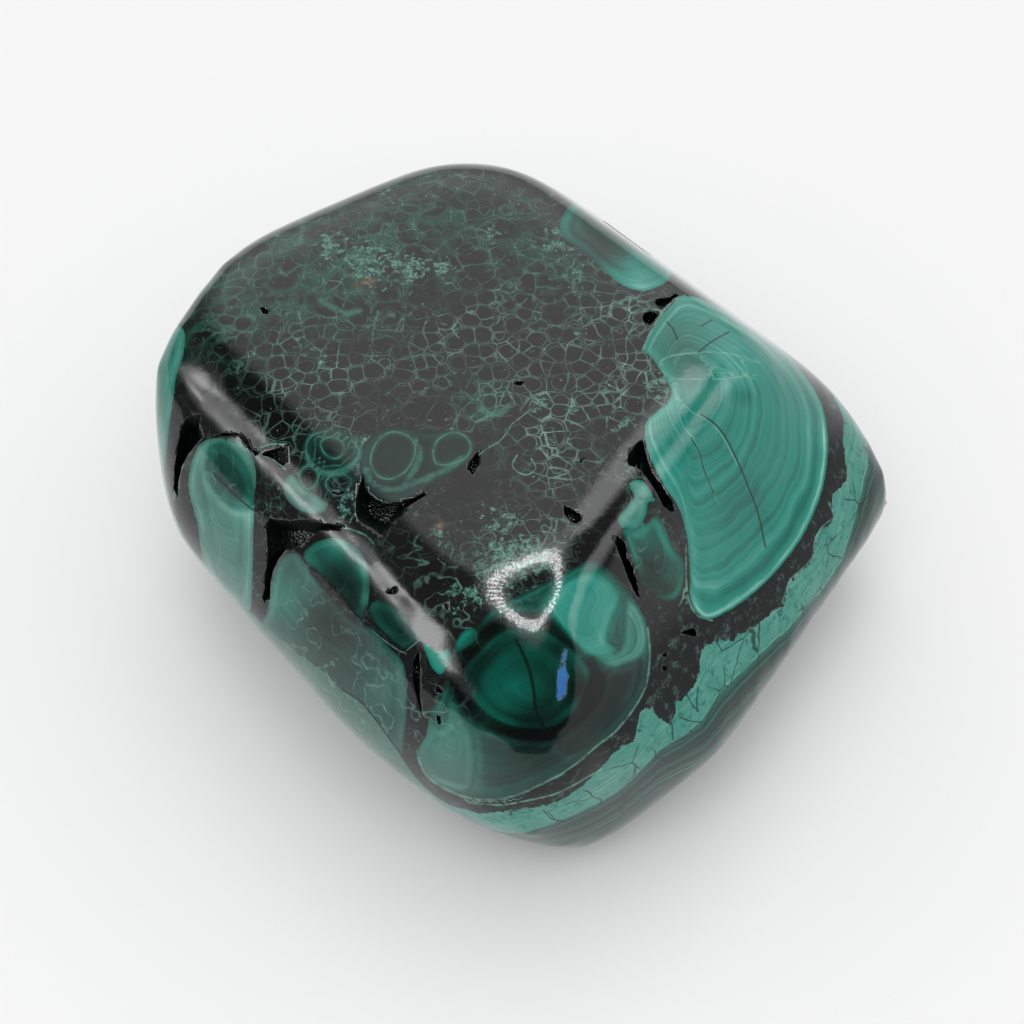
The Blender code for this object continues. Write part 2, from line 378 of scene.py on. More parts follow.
first_batch = [plug for plug in plugs if plug.name not in CUT_LATER]
second_batch = [plug for plug in plugs if plug.name in CUT_LATER]
cut_out(first_batch)
cut_out(second_batch)
stone.data.calc_loop_triangles()
print("stone with clefts:", len(stone.data.loop_triangles), "triangles,",
      [material.name for material in stone.data.materials])
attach(stone, "root")
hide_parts("malachite_stone")

# %% [markdown]
# The pattern runs through the stone, so it is worked out once for every point of the skin and kept there as
# named attributes, which the material reads. A lobe is a dome cut through: its shells are copies of its
# outline, shrunk towards the heart where the dome began to grow. Distances to outlines are kept, not
# colours, because a distance changes evenly from point to point and gives a crisp edge even between them.

# %% Read the skin and carry it to the board
count = len(stone.data.vertices)
places = np.empty(count * 3)
stone.data.vertices.foreach_get("co", places)
places = places.reshape(-1, 3)
normals = np.empty(count * 3)
stone.data.vertices.foreach_get("normal", normals)
normals = normals.reshape(-1, 3)
board = on_board(places)
to_eye = np.array(EYE) - places
facing = (normals * to_eye).sum(1) / np.linalg.norm(to_eye, axis=1)
REACH = 60  # squares of the board round an outline within which distances are worked out
FAR = 99.0  # mm, for what is out of reach
TURNED_AWAY = -0.35  # a point of the skin that faces further from the eye than this is hidden
TO_MM = SQUARE / MM
print("skin points:", count, "of which seen from the board:", int((facing > 0).sum()))


def paint(name, values):
    """Keep one number for every point of the skin."""
    layer = stone.data.attributes.new(name, "FLOAT", "POINT")
    layer.data.foreach_set("value", np.asarray(values, dtype=np.float32))


def rounded(points, closed=True, steps=4):
    """A smooth run through a few points (Catmull-Rom)."""
    points = np.array(points, float)
    if closed:
        before, after, beyond = np.roll(points, 1, 0), np.roll(points, -1, 0), np.roll(points, -2, 0)
        start = points
    else:
        padded = np.vstack([2 * points[0] - points[1], points, 2 * points[-1] - points[-2]])
        before, start, after, beyond = padded[:-3], padded[1:-2], padded[2:-1], padded[3:]
    run = []
    for t in np.arange(steps) / steps:
        bend = (2 * before - 5 * start + 4 * after - beyond) * t ** 2
        twist = (3 * start - before - 3 * after + beyond) * t ** 3
        run.append(0.5 * (2 * start + (after - before) * t + bend + twist))
    run = np.stack(run, 1).reshape(-1, 2)
    return run if closed else np.vstack([run, points[-1]])


def near_board(corners, reach=REACH):
    return np.all((board > corners.min(0) - reach) & (board < corners.max(0) + reach), axis=1)


def cross(a, b):
    return a[..., 0] * b[..., 1] - a[..., 1] * b[..., 0]


def depth_inside(outline):
    """Distance in mm from each skin point to a closed outline, positive inside it."""
    corners = rounded(outline)
    near = near_board(corners)
    start, edge = corners, np.roll(corners, -1, 0) - corners
    offset = board[near][:, None] - start
    along = np.clip((offset * edge).sum(-1) / (edge ** 2).sum(-1), 0, 1)
    distance = np.linalg.norm(offset - along[..., None] * edge, axis=-1).min(1)
    rise = np.where(edge[:, 1] == 0, 1e-9, edge[:, 1])
    spans = (offset[..., 1] >= 0) != (offset[..., 1] >= edge[:, 1])
    left_of = offset[..., 0] < offset[..., 1] / rise * edge[:, 0]
    inside = (spans & left_of).sum(1) % 2 == 1
    result = np.full(count, -float(REACH))
    result[near] = np.where(inside, distance, -distance)
    return result * TO_MM


def shell_number(outline, heart):
    """Millimetres of growth from the heart, counted along shrunken copies of the outline."""
    corners = rounded(outline)
    start, edge = corners - heart, np.roll(corners, -1, 0) - corners
    near = near_board(corners)
    ray = board[near] - heart
    length = np.linalg.norm(ray, axis=1) + 1e-6
    toward = (ray / length[:, None])[:, None]
    turn = cross(toward, edge)
    turn = np.where(np.abs(turn) < 1e-9, 1e-9, turn)
    range_to = cross(start, edge) / turn
    place = cross(start, toward) / turn
    reach = np.where((range_to > 0) & (place >= 0) & (place <= 1), range_to, 0).max(1)
    result = np.zeros(count)
    result[near] = length / np.maximum(reach, 1) * np.linalg.norm(start, axis=1).mean()
    return result * TO_MM


def beside(lines):
    """The nearest of several lines: side distance over its half width, and plain distance in mm."""
    side, plain = np.full(count, FAR), np.full(count, FAR)
    for half_width, points in lines:
        corners = rounded(points, closed=False)
        near = near_board(corners, 20)
        start, edge = corners[:-1], corners[1:] - corners[:-1]
        offset = board[near][:, None] - start
        along = np.clip((offset * edge).sum(-1) / (edge ** 2).sum(-1), 0, 1)
        distance = np.linalg.norm(offset - along[..., None] * edge, axis=-1)
        nearest = distance.argmin(1)
        pick = np.arange(len(nearest))
        across = cross(edge[nearest], offset[pick, nearest]) / np.linalg.norm(edge[nearest], axis=1)
        distance = distance[pick, nearest] * TO_MM
        across = across * TO_MM / half_width
        closer = distance < plain[near]
        plain[near] = np.where(closer, distance, plain[near])
        side[near] = np.where(closer, across, side[near])
    return side, plain


def blush(spots):
    """Soft round spots on the board: place, radius and strength, added up."""
    total = np.zeros(count)
    for x, y, radius, strength in spots:
        total += strength * np.exp(-((board - (x, y)) ** 2).sum(1) / radius ** 2)
    return total * (facing > TURNED_AWAY)

# %% [markdown]
# Each lobe gets its heart, its outline and its look: how light it is, how grey, and how strongly its shells
# show. Later lobes lie inside or over earlier ones. On the sides that the board can't see, domes are given
# as balls in the stone; where the skin cuts a ball, its shells show as rings, which is what the saw does to
# a real dome.

# %% Growth lobes on the board
LOBES = {
    # name: (heart, tone 0 dark to 1 pale, share of grey, strength of the shells, outline)
    "right_lobe": ((686, 372), 0.57, 0.08, 0.72, [
        (643, 350), (651, 332), (660, 318), (672, 304), (683, 296), (702, 299), (740, 318), (775, 342),
        (803, 372), (822, 405), (828, 440), (825, 478), (814, 513), (795, 548), (765, 583), (735, 607),
        (710, 619), (697, 613), (690, 597), (690, 575), (688, 545), (683, 520), (676, 503), (667, 490),
        (656, 470), (647, 448), (645, 425), (656, 412), (668, 402), (671, 388), (660, 370), (650, 356)]),
    "upper_right_lobe": ((600, 225), 0.46, 0.08, 0.45, [
        (560, 232), (583, 252), (603, 270), (620, 284), (632, 289), (645, 291), (658, 287), (668, 281),
        (676, 272), (700, 262), (650, 225), (600, 195), (570, 205)]),
    "nose_lobe": ((530, 650), 0.31, 0.55, 0.34, [
        (648, 628), (650, 655), (645, 685), (634, 707), (615, 730), (598, 745), (580, 761), (560, 776),
        (520, 794), (490, 801), (465, 797), (440, 786), (423, 771), (417, 753), (426, 735), (430, 712),
        (437, 700), (447, 680), (455, 655), (470, 640), (490, 610), (530, 590), (570, 570), (592, 560),
        (612, 572), (632, 594), (642, 612)]),
    "brown_lobe": ((600, 690), 0.22, 1.0, 0.1, [
        (640, 655), (636, 690), (618, 716), (600, 735), (585, 748), (565, 752), (560, 738), (585, 716),
        (602, 690), (606, 672), (625, 664)]),
    # the two nose lobes below, a near-black ring round a deep green middle, lie where the dark figure is
    # mirrored: partly the lobe's own dark green, partly painted darkness standing in for that dark
    # reflection
    "nose_dark_and_reflection": ((530, 690), -0.12, 0.3, 0.05, [
        (452, 668), (454, 690), (463, 707), (478, 721), (498, 732), (526, 738), (556, 737), (579, 724),
        (597, 702), (603, 678), (590, 652), (562, 628), (528, 614), (496, 622), (470, 642)]),
    "nose_core": ((530, 690), 0.26, 0.0, 0.25, [
        (462, 668), (464, 685), (471, 700), (484, 714), (502, 725), (525, 731), (552, 729), (573, 715),
        (588, 694), (592, 672), (578, 652), (556, 634), (528, 622), (500, 630), (478, 648)]),
    "nose_teal": ((560, 600), 0.64, 0.12, 0.5, [
        (592, 571), (607, 578), (617, 590), (619, 603), (612, 618), (607, 640), (617, 648), (610, 658),
        (590, 656), (572, 642), (558, 624), (548, 606), (556, 590), (575, 576)]),
    "nose_stripes": ((598, 640), 0.60, 0.50, 0.9, [
        (626, 597), (633, 602), (643, 615), (648, 636), (643, 655), (628, 664), (612, 668), (600, 660),
        (612, 655), (622, 646), (625, 625)]),
    "strip_body": ((632, 518), 0.36, 0.25, 0.6, [
        (620, 522), (632, 528), (645, 524), (656, 516), (664, 524), (668, 535), (674, 548), (683, 560),
        (684, 578), (678, 598), (662, 600), (650, 590), (640, 584), (633, 562), (627, 545)]),
    "strip_patch": ((630, 505), 0.60, 0.45, 0.6, [
        (617, 520), (626, 508), (636, 496), (646, 500), (647, 512), (641, 525), (633, 531), (624, 527)]),
    "strip_lens": ((640, 488), 0.66, 0.45, 0.3, [
        (629, 483), (641, 480), (650, 490), (655, 502), (643, 499), (633, 493)]),
    "emerald_left": ((440, 640), 0.50, 0.0, 0.3, [
        (422, 642), (427, 656), (432, 668), (440, 675), (447, 668), (452, 656), (447, 648), (440, 652),
        (430, 646)]),
    "emerald_right": ((468, 632), 0.40, 0.1, 0.3, [
        (455, 656), (466, 650), (477, 642), (480, 632), (470, 627), (460, 634), (455, 645)]),
    "left_lobe": ((222, 470), 0.64, 0.72, 0.26, [
        (196, 450), (206, 440), (222, 438), (238, 441), (250, 452), (256, 470), (255, 495), (254, 520),
        (253, 560), (252, 590), (250, 612), (240, 620), (215, 600), (205, 570), (200, 545), (198, 525),
        (192, 505), (188, 480)]),
    # the lobe below: its dark core under the left ridge is partly the lobe's darker heart, partly painted
    # shade
    "left_lobe_core_and_shade": ((222, 458), 0.30, 0.50, 0.4, [
        (208, 455), (214, 445), (226, 446), (238, 456), (248, 472), (254, 492), (250, 508), (232, 506),
        (214, 488), (207, 470)]),
    "left_sliver": ((150, 400), 0.60, 0.45, 0.3, [
        (120, 330), (178, 325), (184, 350), (176, 378), (173, 402), (169, 430), (165, 470), (168, 505),
        (140, 500), (130, 420)]),
    "flank_body": ((330, 560), 0.44, 0.80, 0.30, [
        (300, 556), (290, 553), (281, 559), (274, 572), (270, 592), (267, 612), (262, 622), (262, 640),
        (300, 675), (345, 705), (395, 760), (404, 738), (407, 705), (404, 665), (388, 646), (372, 628),
        (355, 622), (335, 600), (313, 575)]),
    # the cap below: its pale green rim on the top and right is partly a painted highlight, and its dark
    # inside partly a painted reflection of the dark figure, over the lobe's own green
    "flank_cap": ((332, 580), 0.36, 0.55, 0.30, [
        (303, 557), (309, 547), (321, 540), (336, 538), (350, 543), (361, 552), (367, 565), (370, 582),
        (368, 602), (361, 622), (352, 610), (333, 588), (316, 570)]),
    "dark_lobe": ((395, 620), 0.20, 0.30, 0.2, [
        (369, 612), (373, 602), (384, 601), (400, 610), (413, 625), (418, 640), (405, 649), (393, 643),
        (376, 626)]),
    "low_lobe": ((452, 740), 0.50, 0.75, 0.35, [
        (430, 715), (438, 728), (446, 722), (447, 702), (456, 706), (466, 722), (474, 745), (470, 790),
        (440, 786), (423, 771), (417, 753), (426, 735)]),
    "bullseye_dome": ((395, 455), 0.16, 0.6, 0.2, [
        (360, 450), (360, 468), (362, 481), (368, 492), (378, 499), (392, 502), (408, 498), (424, 490),
        (444, 479), (461, 468), (474, 455), (472, 438), (452, 430), (425, 431), (400, 427), (376, 432)]),
    "orb_dome": ((330, 450), 0.12, 0.6, 0.2, [
        (308, 440), (318, 433), (331, 430), (345, 435), (357, 445), (360, 456), (352, 465), (338, 471),
        (324, 473), (312, 465), (305, 452)]),
    # the lobe below is a pale crescent on the left ridge whose whitish grey is partly a painted highlight
    # of the window
    "ridge_crescent_and_highlight": ((300, 485), 0.60, 0.75, 0.3, [
        (284, 480), (292, 474), (304, 486), (318, 496), (328, 504), (322, 513), (306, 513), (292, 505),
        (284, 494)]),
}

edge_depth = np.full(count, -REACH * TO_MM)
border = np.full(count, REACH * TO_MM)
shells, tone, grey, strength = (np.zeros(count) for _ in range(4))
on_view = facing > TURNED_AWAY
ROUND_OFF = 14.0  # mm by which an outline draws in where the skin turns away, so that it closes round
for name, (heart, lobe_tone, lobe_grey, lobe_strength, outline) in LOBES.items():
    depth = np.where(on_view, depth_inside(outline) + ROUND_OFF * np.minimum(facing, 0), -REACH * TO_MM)
    number = shell_number(outline, heart)
    border = np.minimum(border, np.abs(depth))
    inside = depth > 0
    nearer = (depth > edge_depth) | inside
    edge_depth = np.where(inside, depth, np.where(edge_depth > 0, np.minimum(edge_depth, -depth),
                                                  np.maximum(edge_depth, depth)))
    use = inside | (nearer & (edge_depth < 0))
    shells = np.where(use, number, shells)
    tone = np.where(use, lobe_tone, tone)
    grey = np.where(use, lobe_grey, grey)
    strength = np.where(use, lobe_strength, strength)
print("lobes drawn:", len(LOBES), "covering", round(100 * float((edge_depth > 0).mean())), "% of the skin")

# %% Domes on the sides that the board can't see
DOMES = (
    # centre and radius in mm, tone, grey
    ((22, 16, 10), 9.0, 0.55, 0.08),
    ((12, 30, 17), 8.5, 0.46, 0.10),
    ((-8, 30, 12), 10.5, 0.60, 0.06),
    ((-24, 20, 16), 8.0, 0.50, 0.15),
    ((-30, 2, 8), 9.5, 0.66, 0.16),
    ((8, 22, 26), 6.0, 0.42, 0.10),
    ((29, -2, 6), 7.5, 0.58, 0.10),
    ((-17, 31, 4), 6.0, 0.40, 0.10),
)
HIDING_STARTS, HIDING_SPAN = 0.05, 0.4
DOME_FADE, DOME_STRENGTH = 6, 0.55
hidden = np.clip((HIDING_STARTS - facing) / HIDING_SPAN, 0, 1)
points = places / MM
SWAY, SWAY_LENGTH = 0.8, 2.2
swayed = points + SWAY * np.sin(np.roll(points, 1, axis=1) / SWAY_LENGTH)
for centre, radius, dome_tone, dome_grey in DOMES:
    number = np.linalg.norm(swayed - np.array(centre), axis=1)
    depth = radius - number - DOME_FADE * (1 - hidden)
    border = np.minimum(border, np.where(depth > -1, np.abs(depth - np.maximum(edge_depth, 0)), border))
    inside = (depth > 0) & (edge_depth < depth)
    use = depth > edge_depth
    edge_depth = np.where(inside & (edge_depth > 0), np.minimum(depth, depth - edge_depth),
                          np.maximum(edge_depth, depth))
    shells = np.where(use, number, shells)
    tone = np.where(use, dome_tone, tone)
    grey = np.where(use, dome_grey, grey)
    strength = np.where(use, DOME_STRENGTH, strength)
print("domes on the hidden sides:", len(DOMES))

# %% [markdown]
# Towards the base the stone cuts through flat layers that grew under the domes: a black earthy seam, a pale
# cracked layer, and fine dark bands. A line on the board gives each border's height where it is seen. A few
# heights carry it on round the hidden sides, so that the layers close on themselves like the rings of a
# barrel.

# %% Layers towards the base
SEAM_LINE = [
    (868, 372), (847, 408), (842, 430), (845, 455), (848, 480), (833, 497), (833, 520), (818, 534),
    (812, 560), (790, 581), (783, 604), (760, 622), (728, 640), (702, 647), (699, 675), (688, 692),
    (676, 705), (671, 726), (652, 712), (640, 715), (634, 741), (616, 749), (600, 770), (560, 801),
    (520, 809), (480, 813), (446, 803), (425, 788), (408, 766), (398, 748), (384, 728), (364, 705),
    (343, 690), (318, 668), (290, 646), (262, 623), (236, 600), (205, 572), (176, 520),
]
STRIPE_LINE = [
    (880, 430), (868, 462), (860, 500), (842, 560), (803, 612), (760, 655), (722, 690), (702, 722),
    (660, 750), (620, 790), (560, 821), (510, 833), (474, 822),
]
REAR_SEAM = ((35, 19.0), (70, 15.0), (110, 11.5), (150, 13.0), (182, 17.0))
LAYER_THICKNESS = 4.6
HEIGHT_OF_A_MM = 0.8  # height gained by one mm along the leaning skin


def line_height(line, extra):
    """Height in mm, for every skin point, of a board line that goes on round the back."""
    turns, heights = [turn for turn, _ in extra], [height for _, height in extra]
    for x, y in rounded(line, closed=False, steps=2):
        hit = skin_tree.ray_cast(EYE, sight(x, y))[0]
        if hit is not None:
            turns.append(math.degrees(math.atan2(hit.y, hit.x)) % 360)
            heights.append(hit.z / MM)
    order = np.argsort(turns)
    turn = np.degrees(np.arctan2(places[:, 1], places[:, 0])) % 360
    return np.interp(turn, np.array(turns)[order], np.array(heights)[order], period=360)


seam = line_height(SEAM_LINE, REAR_SEAM)
stripes_top = line_height(STRIPE_LINE, [(t, h - LAYER_THICKNESS) for t, h in REAR_SEAM] +
                          [(200, 12.0), (225, 11.5), (248, 9.5)])
paint("below_seam", (seam - points[:, 2]) / HEIGHT_OF_A_MM)
paint("in_stripes", (stripes_top - points[:, 2]) / HEIGHT_OF_A_MM)
print("seam heights in mm:", round(float(seam.min()), 1), "to", round(float(seam.max()), 1))

# %% [markdown]
# Single small domes in the ground are cut as rings, and thin veins, pale rims and cracks run between and
# over the lobes. Each is a few points with a smooth curve through them. The skin keeps the distance to the
# curve, so that a line stays thin and even where the mesh is coarse.

# %% Rings
RINGS = {
    "first_orb": [
        (308, 440), (318, 433), (331, 431), (345, 436), (356, 445), (359, 455), (352, 464), (338, 470),
        (324, 472), (312, 464), (306, 452)],
    "bullseye": [
        (371, 465), (372, 452), (380, 438), (392, 432), (404, 434), (413, 441), (415, 452), (411, 464),
        (402, 474), (390, 479), (377, 475)],
    "oval": [
        (433, 452), (438, 440), (452, 432), (466, 437), (471, 448), (464, 459), (450, 464), (437, 464)],
    "small_orb": [
        (299, 478), (303, 468), (312, 466), (318, 474), (316, 485), (307, 489)],
    "low_ring": [
        (326, 480), (334, 475), (346, 475), (352, 482), (345, 491), (333, 493), (327, 488)],
    "inner_ring": [
        (320, 443), (330, 437), (341, 441), (345, 450), (338, 458), (327, 456)],
}
ring = np.full(count, FAR)
for name, outline in RINGS.items():
    depth = depth_inside(outline)
    ring = np.where((np.abs(depth) < np.abs(ring)) & on_view, depth, ring)
print("rings drawn:", len(RINGS))

# %% Lines
SOFT_LINES = (
    [(366, 470), (372, 482), (385, 489), (405, 487), (428, 478), (450, 467), (462, 458)],
    [(306, 455), (312, 465), (326, 474), (342, 472), (356, 462), (360, 450), (356, 440)],
    [(416, 440), (420, 452), (416, 468), (408, 478)],
    [(320, 300), (332, 307), (345, 313), (360, 312)],
    [(480, 408), (490, 414), (502, 412), (510, 404)],
)
LIGHT_LINES = (
    # half width in mm, points on the board
    (0.07, [(683, 296), (676, 299), (667, 307), (660, 316), (654, 326), (648, 337), (643, 349)]),
    (0.08, [(660, 366), (662, 360), (675, 355), (695, 353), (712, 352), (735, 355), (757, 362)]),
    (0.07, [(660, 366), (666, 375), (676, 379), (695, 379), (720, 379), (755, 375)]),
    (0.08, [(700, 356), (706, 365), (714, 378)]),
    (0.06, [(704, 360), (715, 366), (730, 372)]),
    (0.07, [(742, 362), (750, 378), (756, 395)]),
    (0.07, [(676, 402), (683, 426), (692, 437), (698, 450), (704, 470), (712, 490), (718, 502)]),
    (0.06, [(668, 380), (680, 400), (692, 412), (702, 417), (714, 426), (724, 439), (736, 462)]),
    (0.09, [(648, 630), (650, 655), (646, 685), (635, 707), (617, 730), (598, 745), (581, 760),
            (560, 775)]),
    (0.10, [(560, 775), (520, 794), (490, 800), (465, 797), (440, 786), (424, 772), (417, 753)]),
    (0.07, [(600, 770), (560, 792), (530, 800), (500, 805), (470, 803)]),
    (0.035, [(404, 652), (411, 647), (418, 641)]),
    (0.035, [(374, 632), (385, 641), (398, 650), (404, 653)]),
    (0.07, [(830, 505), (833, 517), (822, 527), (815, 540), (813, 556), (803, 568), (790, 580),
            (783, 600)]),
    (0.07, [(684, 590), (683, 598), (680, 604)]),
    (0.07, [(686, 548), (686, 570), (687, 590), (691, 606), (698, 616), (710, 620)]),
    (0.08, [(330, 528), (345, 528), (356, 531), (366, 536), (373, 543)]),
    (0.08, [(182, 466), (177, 482), (174, 498)]),
    (0.06, [(262, 455), (270, 458), (278, 463), (284, 468)]),
    (0.07, [(262, 447), (272, 444), (286, 444)]),
    (0.06, [(630, 300), (629, 308), (632, 313), (640, 309), (652, 309), (662, 311)]),
    (0.05, [(634, 329), (627, 336), (626, 350), (628, 358), (624, 365)]),
    (0.05, [(507, 432), (500, 441), (488, 448), (480, 454)]),
    (0.05, [(507, 432), (512, 424), (520, 418), (530, 410)]),
    (0.06, [(516, 457), (512, 465), (518, 472), (528, 475), (536, 468), (532, 460)]),
)
DARK_LINES = (
    (0.07, [(668, 323), (673, 329), (677, 338)]),
    (0.07, [(700, 351), (707, 345), (716, 339), (727, 333)]),
    (0.06, [(703, 325), (710, 321)]),
    (0.07, [(702, 415), (715, 424), (726, 438), (738, 462), (748, 486), (758, 513), (765, 545)]),
    (0.06, [(692, 439), (699, 452), (704, 470), (713, 492)]),
    (0.09, [(214, 474), (224, 484), (234, 494), (244, 503), (252, 509)]),
    (0.08, [(312, 574), (325, 588), (338, 598), (352, 611), (360, 618)]),
    (0.15, [(516, 640), (524, 656), (530, 672), (534, 692), (536, 710), (544, 728)]),
    (0.09, [(376, 625), (392, 641), (405, 651)]),
    (0.08, [(343, 690), (362, 703), (382, 728), (396, 748)]),
    (0.10, [(397, 748), (406, 762), (416, 776), (432, 790), (448, 802)]),
    (0.05, [(688, 697), (696, 710), (697, 697), (698, 690)]),
    (0.05, [(682, 718), (690, 721), (700, 722)]),
    (0.06, [(622, 794), (623, 802), (622, 810)]),
    (0.05, [(628, 797), (630, 794)]),
    (0.05, [(545, 812), (552, 819), (562, 821)]),
    (0.06, [(672, 725), (673, 738)]),
    (0.07, [(658, 500), (670, 520), (680, 540), (684, 560)]),
)
light_side, light_plain = beside(LIGHT_LINES)
soft_plain = beside([(1.0, points) for points in SOFT_LINES])[1]
paint("soft_near", np.where(on_view, soft_plain, FAR))
dark_side, dark_plain = beside(DARK_LINES)
for name, values in (("light_side", light_side), ("light_near", light_plain), ("dark_side", dark_side),
                     ("dark_near", dark_plain)):
    paint(name, np.where(on_view, values, FAR))
paint("ring", ring)
paint("ring_near", np.abs(ring))
print("lines drawn:", len(SOFT_LINES) + len(LIGHT_LINES) + len(DARK_LINES))

# %% [markdown]
# No two places of the stone are alike: the net is finer here, greener there, and bare or earthy beside the
# seam. Such changes have no edge, so each is a sum of soft round spots, which run into each other as stains
# do.

# %% Soft spots
# each spot: place on the board, radius, strength
FINE_CELLS = [
    (255, 385, 48, 1.2), (240, 340, 26, 0.9), (290, 395, 40, 1.0), (285, 430, 25, 0.8), (320, 455, 22, 0.8),
    (620, 400, 30, 0.5), (565, 450, 30, 0.9),
]
BRIGHT_WALLS = [
    (560, 370, 75, 0.6), (470, 340, 50, 0.45), (630, 330, 35, 0.5), (560, 445, 34, 0.9),
    (285, 400, 60, 0.5), (350, 390, 60, 0.3), (640, 385, 35, 0.7), (545, 520, 40, 0.5),
]
SOFT_GREEN = [
    (250, 275, 70, 0.9), (340, 240, 60, 0.8), (430, 215, 60, 0.7), (520, 240, 50, 0.6), (200, 320, 40, 0.9),
    (560, 275, 40, 0.5), (480, 400, 24, 0.9), (345, 300, 50, 0.5), (500, 450, 20, 0.5),
]
MOTTLE = [
    (370, 262, 26, 0.9), (412, 268, 15, 1.1), (443, 268, 10, 1.1), (328, 246, 15, 0.9), (490, 233, 13, 0.7),
    (555, 240, 16, 0.7), (575, 275, 16, 0.6), (390, 195, 10, 0.6), (435, 195, 8, 0.6), (510, 562, 24, 0.8),
    (470, 595, 20, 0.8), (545, 562, 22, 0.7), (540, 404, 9, 1.0), (500, 525, 22, 0.7), (440, 535, 12, 0.7),
    (365, 445, 8, 1.0), (574, 410, 6, 0.9), (620, 424, 12, 0.7), (345, 508, 14, 0.9), (580, 335, 9, 0.6),
    (670, 375, 14, 0.8), (655, 390, 14, 0.7), (240, 310, 12, 0.5), (320, 360, 18, 0.4),
]
BARE = [
    (470, 470, 28, 0.7), (455, 510, 36, 0.8), (420, 410, 30, 0.4), (500, 500, 30, 0.3), (700, 650, 60, 1.0),
    (630, 720, 60, 1.0), (560, 790, 60, 1.0), (820, 530, 70, 1.0), (420, 600, 55, 1.0), (350, 540, 30, 0.8),
    (200, 470, 60, 0.8), (300, 560, 60, 1.0), (400, 700, 50, 1.0), (215, 400, 36, 0.9), (590, 500, 30, 0.6),
    (620, 560, 50, 1.0), (690, 500, 30, 1.0), (500, 640, 40, 1.0),
]
paint("fine_cells", np.clip(blush(FINE_CELLS), 0, 1))
paint("bright_walls", np.clip(blush(BRIGHT_WALLS), 0, 1))
paint("soft_green", np.clip(blush(SOFT_GREEN) + 0.5 * hidden, 0, 1))
paint("mottle", np.clip(blush(MOTTLE), 0, 1))
ROUGH = [
    (700, 655, 45, 1.6), (660, 700, 40, 1.4), (620, 735, 30, 1.2), (560, 785, 34, 1.3), (500, 805, 30, 1.2),
    (815, 540, 50, 1.6), (850, 470, 40, 1.6), (760, 620, 45, 1.6),
]
DULL = [
    (255, 640, 40, 1.0), (300, 685, 50, 1.2), (350, 735, 50, 1.1), (405, 780, 36, 0.7),
]
VEINED = [
    (345, 680, 42, 1.2), (385, 715, 34, 1.2), (300, 620, 34, 0.8), (222, 545, 42, 0.8), (215, 470, 30, 0.6),
    (500, 560, 40, 0.9), (460, 600, 34, 1.0), (560, 455, 30, 0.8), (525, 530, 26, 0.9), (440, 720, 24, 0.8),
    (640, 560, 26, 0.6), (420, 560, 26, 0.6),
]
rough_spots = np.clip(blush(ROUGH), 0, 1)
paint("bare", np.clip(blush(BARE) + rough_spots, 0, 1))
paint("rough", rough_spots)
paint("rust", np.clip(blush([(368, 282, 5, 0.8), (441, 526, 4, 0.8), (358, 284, 3, 0.6)]), 0, 1))
SCUFFED = [
    (195, 360, 22, 1.0), (212, 395, 22, 1.0), (238, 430, 20, 0.8), (275, 470, 16, 0.6), (310, 495, 18, 0.8),
    (385, 578, 18, 0.5), (425, 612, 18, 0.6), (655, 430, 22, 1.0), (625, 500, 18, 0.8),
]
paint("scuffed", np.clip(blush(SCUFFED), 0, 1))
paint("dull", np.clip(blush(DULL), 0, 1))
paint("veined", np.clip(blush(VEINED), 0, 1))
SPOTS = (FINE_CELLS, BRIGHT_WALLS, SOFT_GREEN, MOTTLE, BARE, ROUGH, DULL, VEINED, SCUFFED)
print("soft spots:", sum(len(spots) for spots in SPOTS))

# %% Shades of the lobes, with painted glare and dark reflections, and what the skin keeps
TONE_AND_PAINTED_LIGHT_SPOTS = [
    # place on the board, radius, change of tone; most are the stone's own tone, a few paint highlights and
    # dark reflections
    # the spots at (650, 425) and (668, 470) lighten a painted highlight, the whitish glare beside the pits,
    # and the one at (700, 315) lightens a painted reflection of the pale room on the upper right lobe
    (700, 315, 45, 0.12), (690, 340, 34, -0.08), (650, 425, 22, 0.16), (668, 470, 16, 0.12),
    (715, 400, 26, 0.10), (735, 365, 30, 0.16), (745, 395, 10, -0.2), (700, 370, 14, -0.08),
    (800, 440, 40, 0.05), (745, 500, 40, -0.07), (700, 600, 30, 0.06), (645, 580, 16, -0.24),
    (655, 565, 14, -0.1), (665, 590, 14, -0.16), (640, 280, 18, 0.26), (590, 235, 30, -0.2),
    (600, 250, 20, -0.15), (480, 770, 40, 0.06), (450, 745, 26, 0.10), (540, 760, 50, -0.05),
    # the darkening spots round the nose, at (470, 660), (580, 690), (462, 690), (594, 690), (530, 734),
    # (565, 640) and (488, 632), soften the edge of the near-black ring, partly painted dark reflection of
    # the figure
    (500, 690, 26, 0.06), (555, 700, 20, -0.04), (470, 660, 22, -0.16), (580, 690, 16, -0.16),
    # the spots at (338, 545), (366, 570) and (368, 600) lighten the cap's rim, partly a painted highlight,
    # and those at (336, 584) and (352, 604) darken its inside, partly a painted dark reflection
    (338, 545, 14, 0.30), (366, 570, 10, 0.30), (368, 600, 9, 0.25), (336, 584, 17, -0.26),
    (352, 604, 12, -0.16), (312, 560, 9, 0.05), (462, 690, 15, -0.16), (594, 690, 16, -0.2),
    (530, 734, 26, -0.2), (565, 640, 14, -0.14), (488, 632, 18, -0.1), (520, 690, 24, 0.06),
    (250, 512, 14, 0.12), (285, 600, 30, 0.16), (335, 620, 30, -0.16), (300, 640, 28, 0.04),
    (385, 690, 20, 0.12), (350, 690, 30, 0.04), (225, 545, 40, 0.04), (175, 410, 10, 0.10),
]
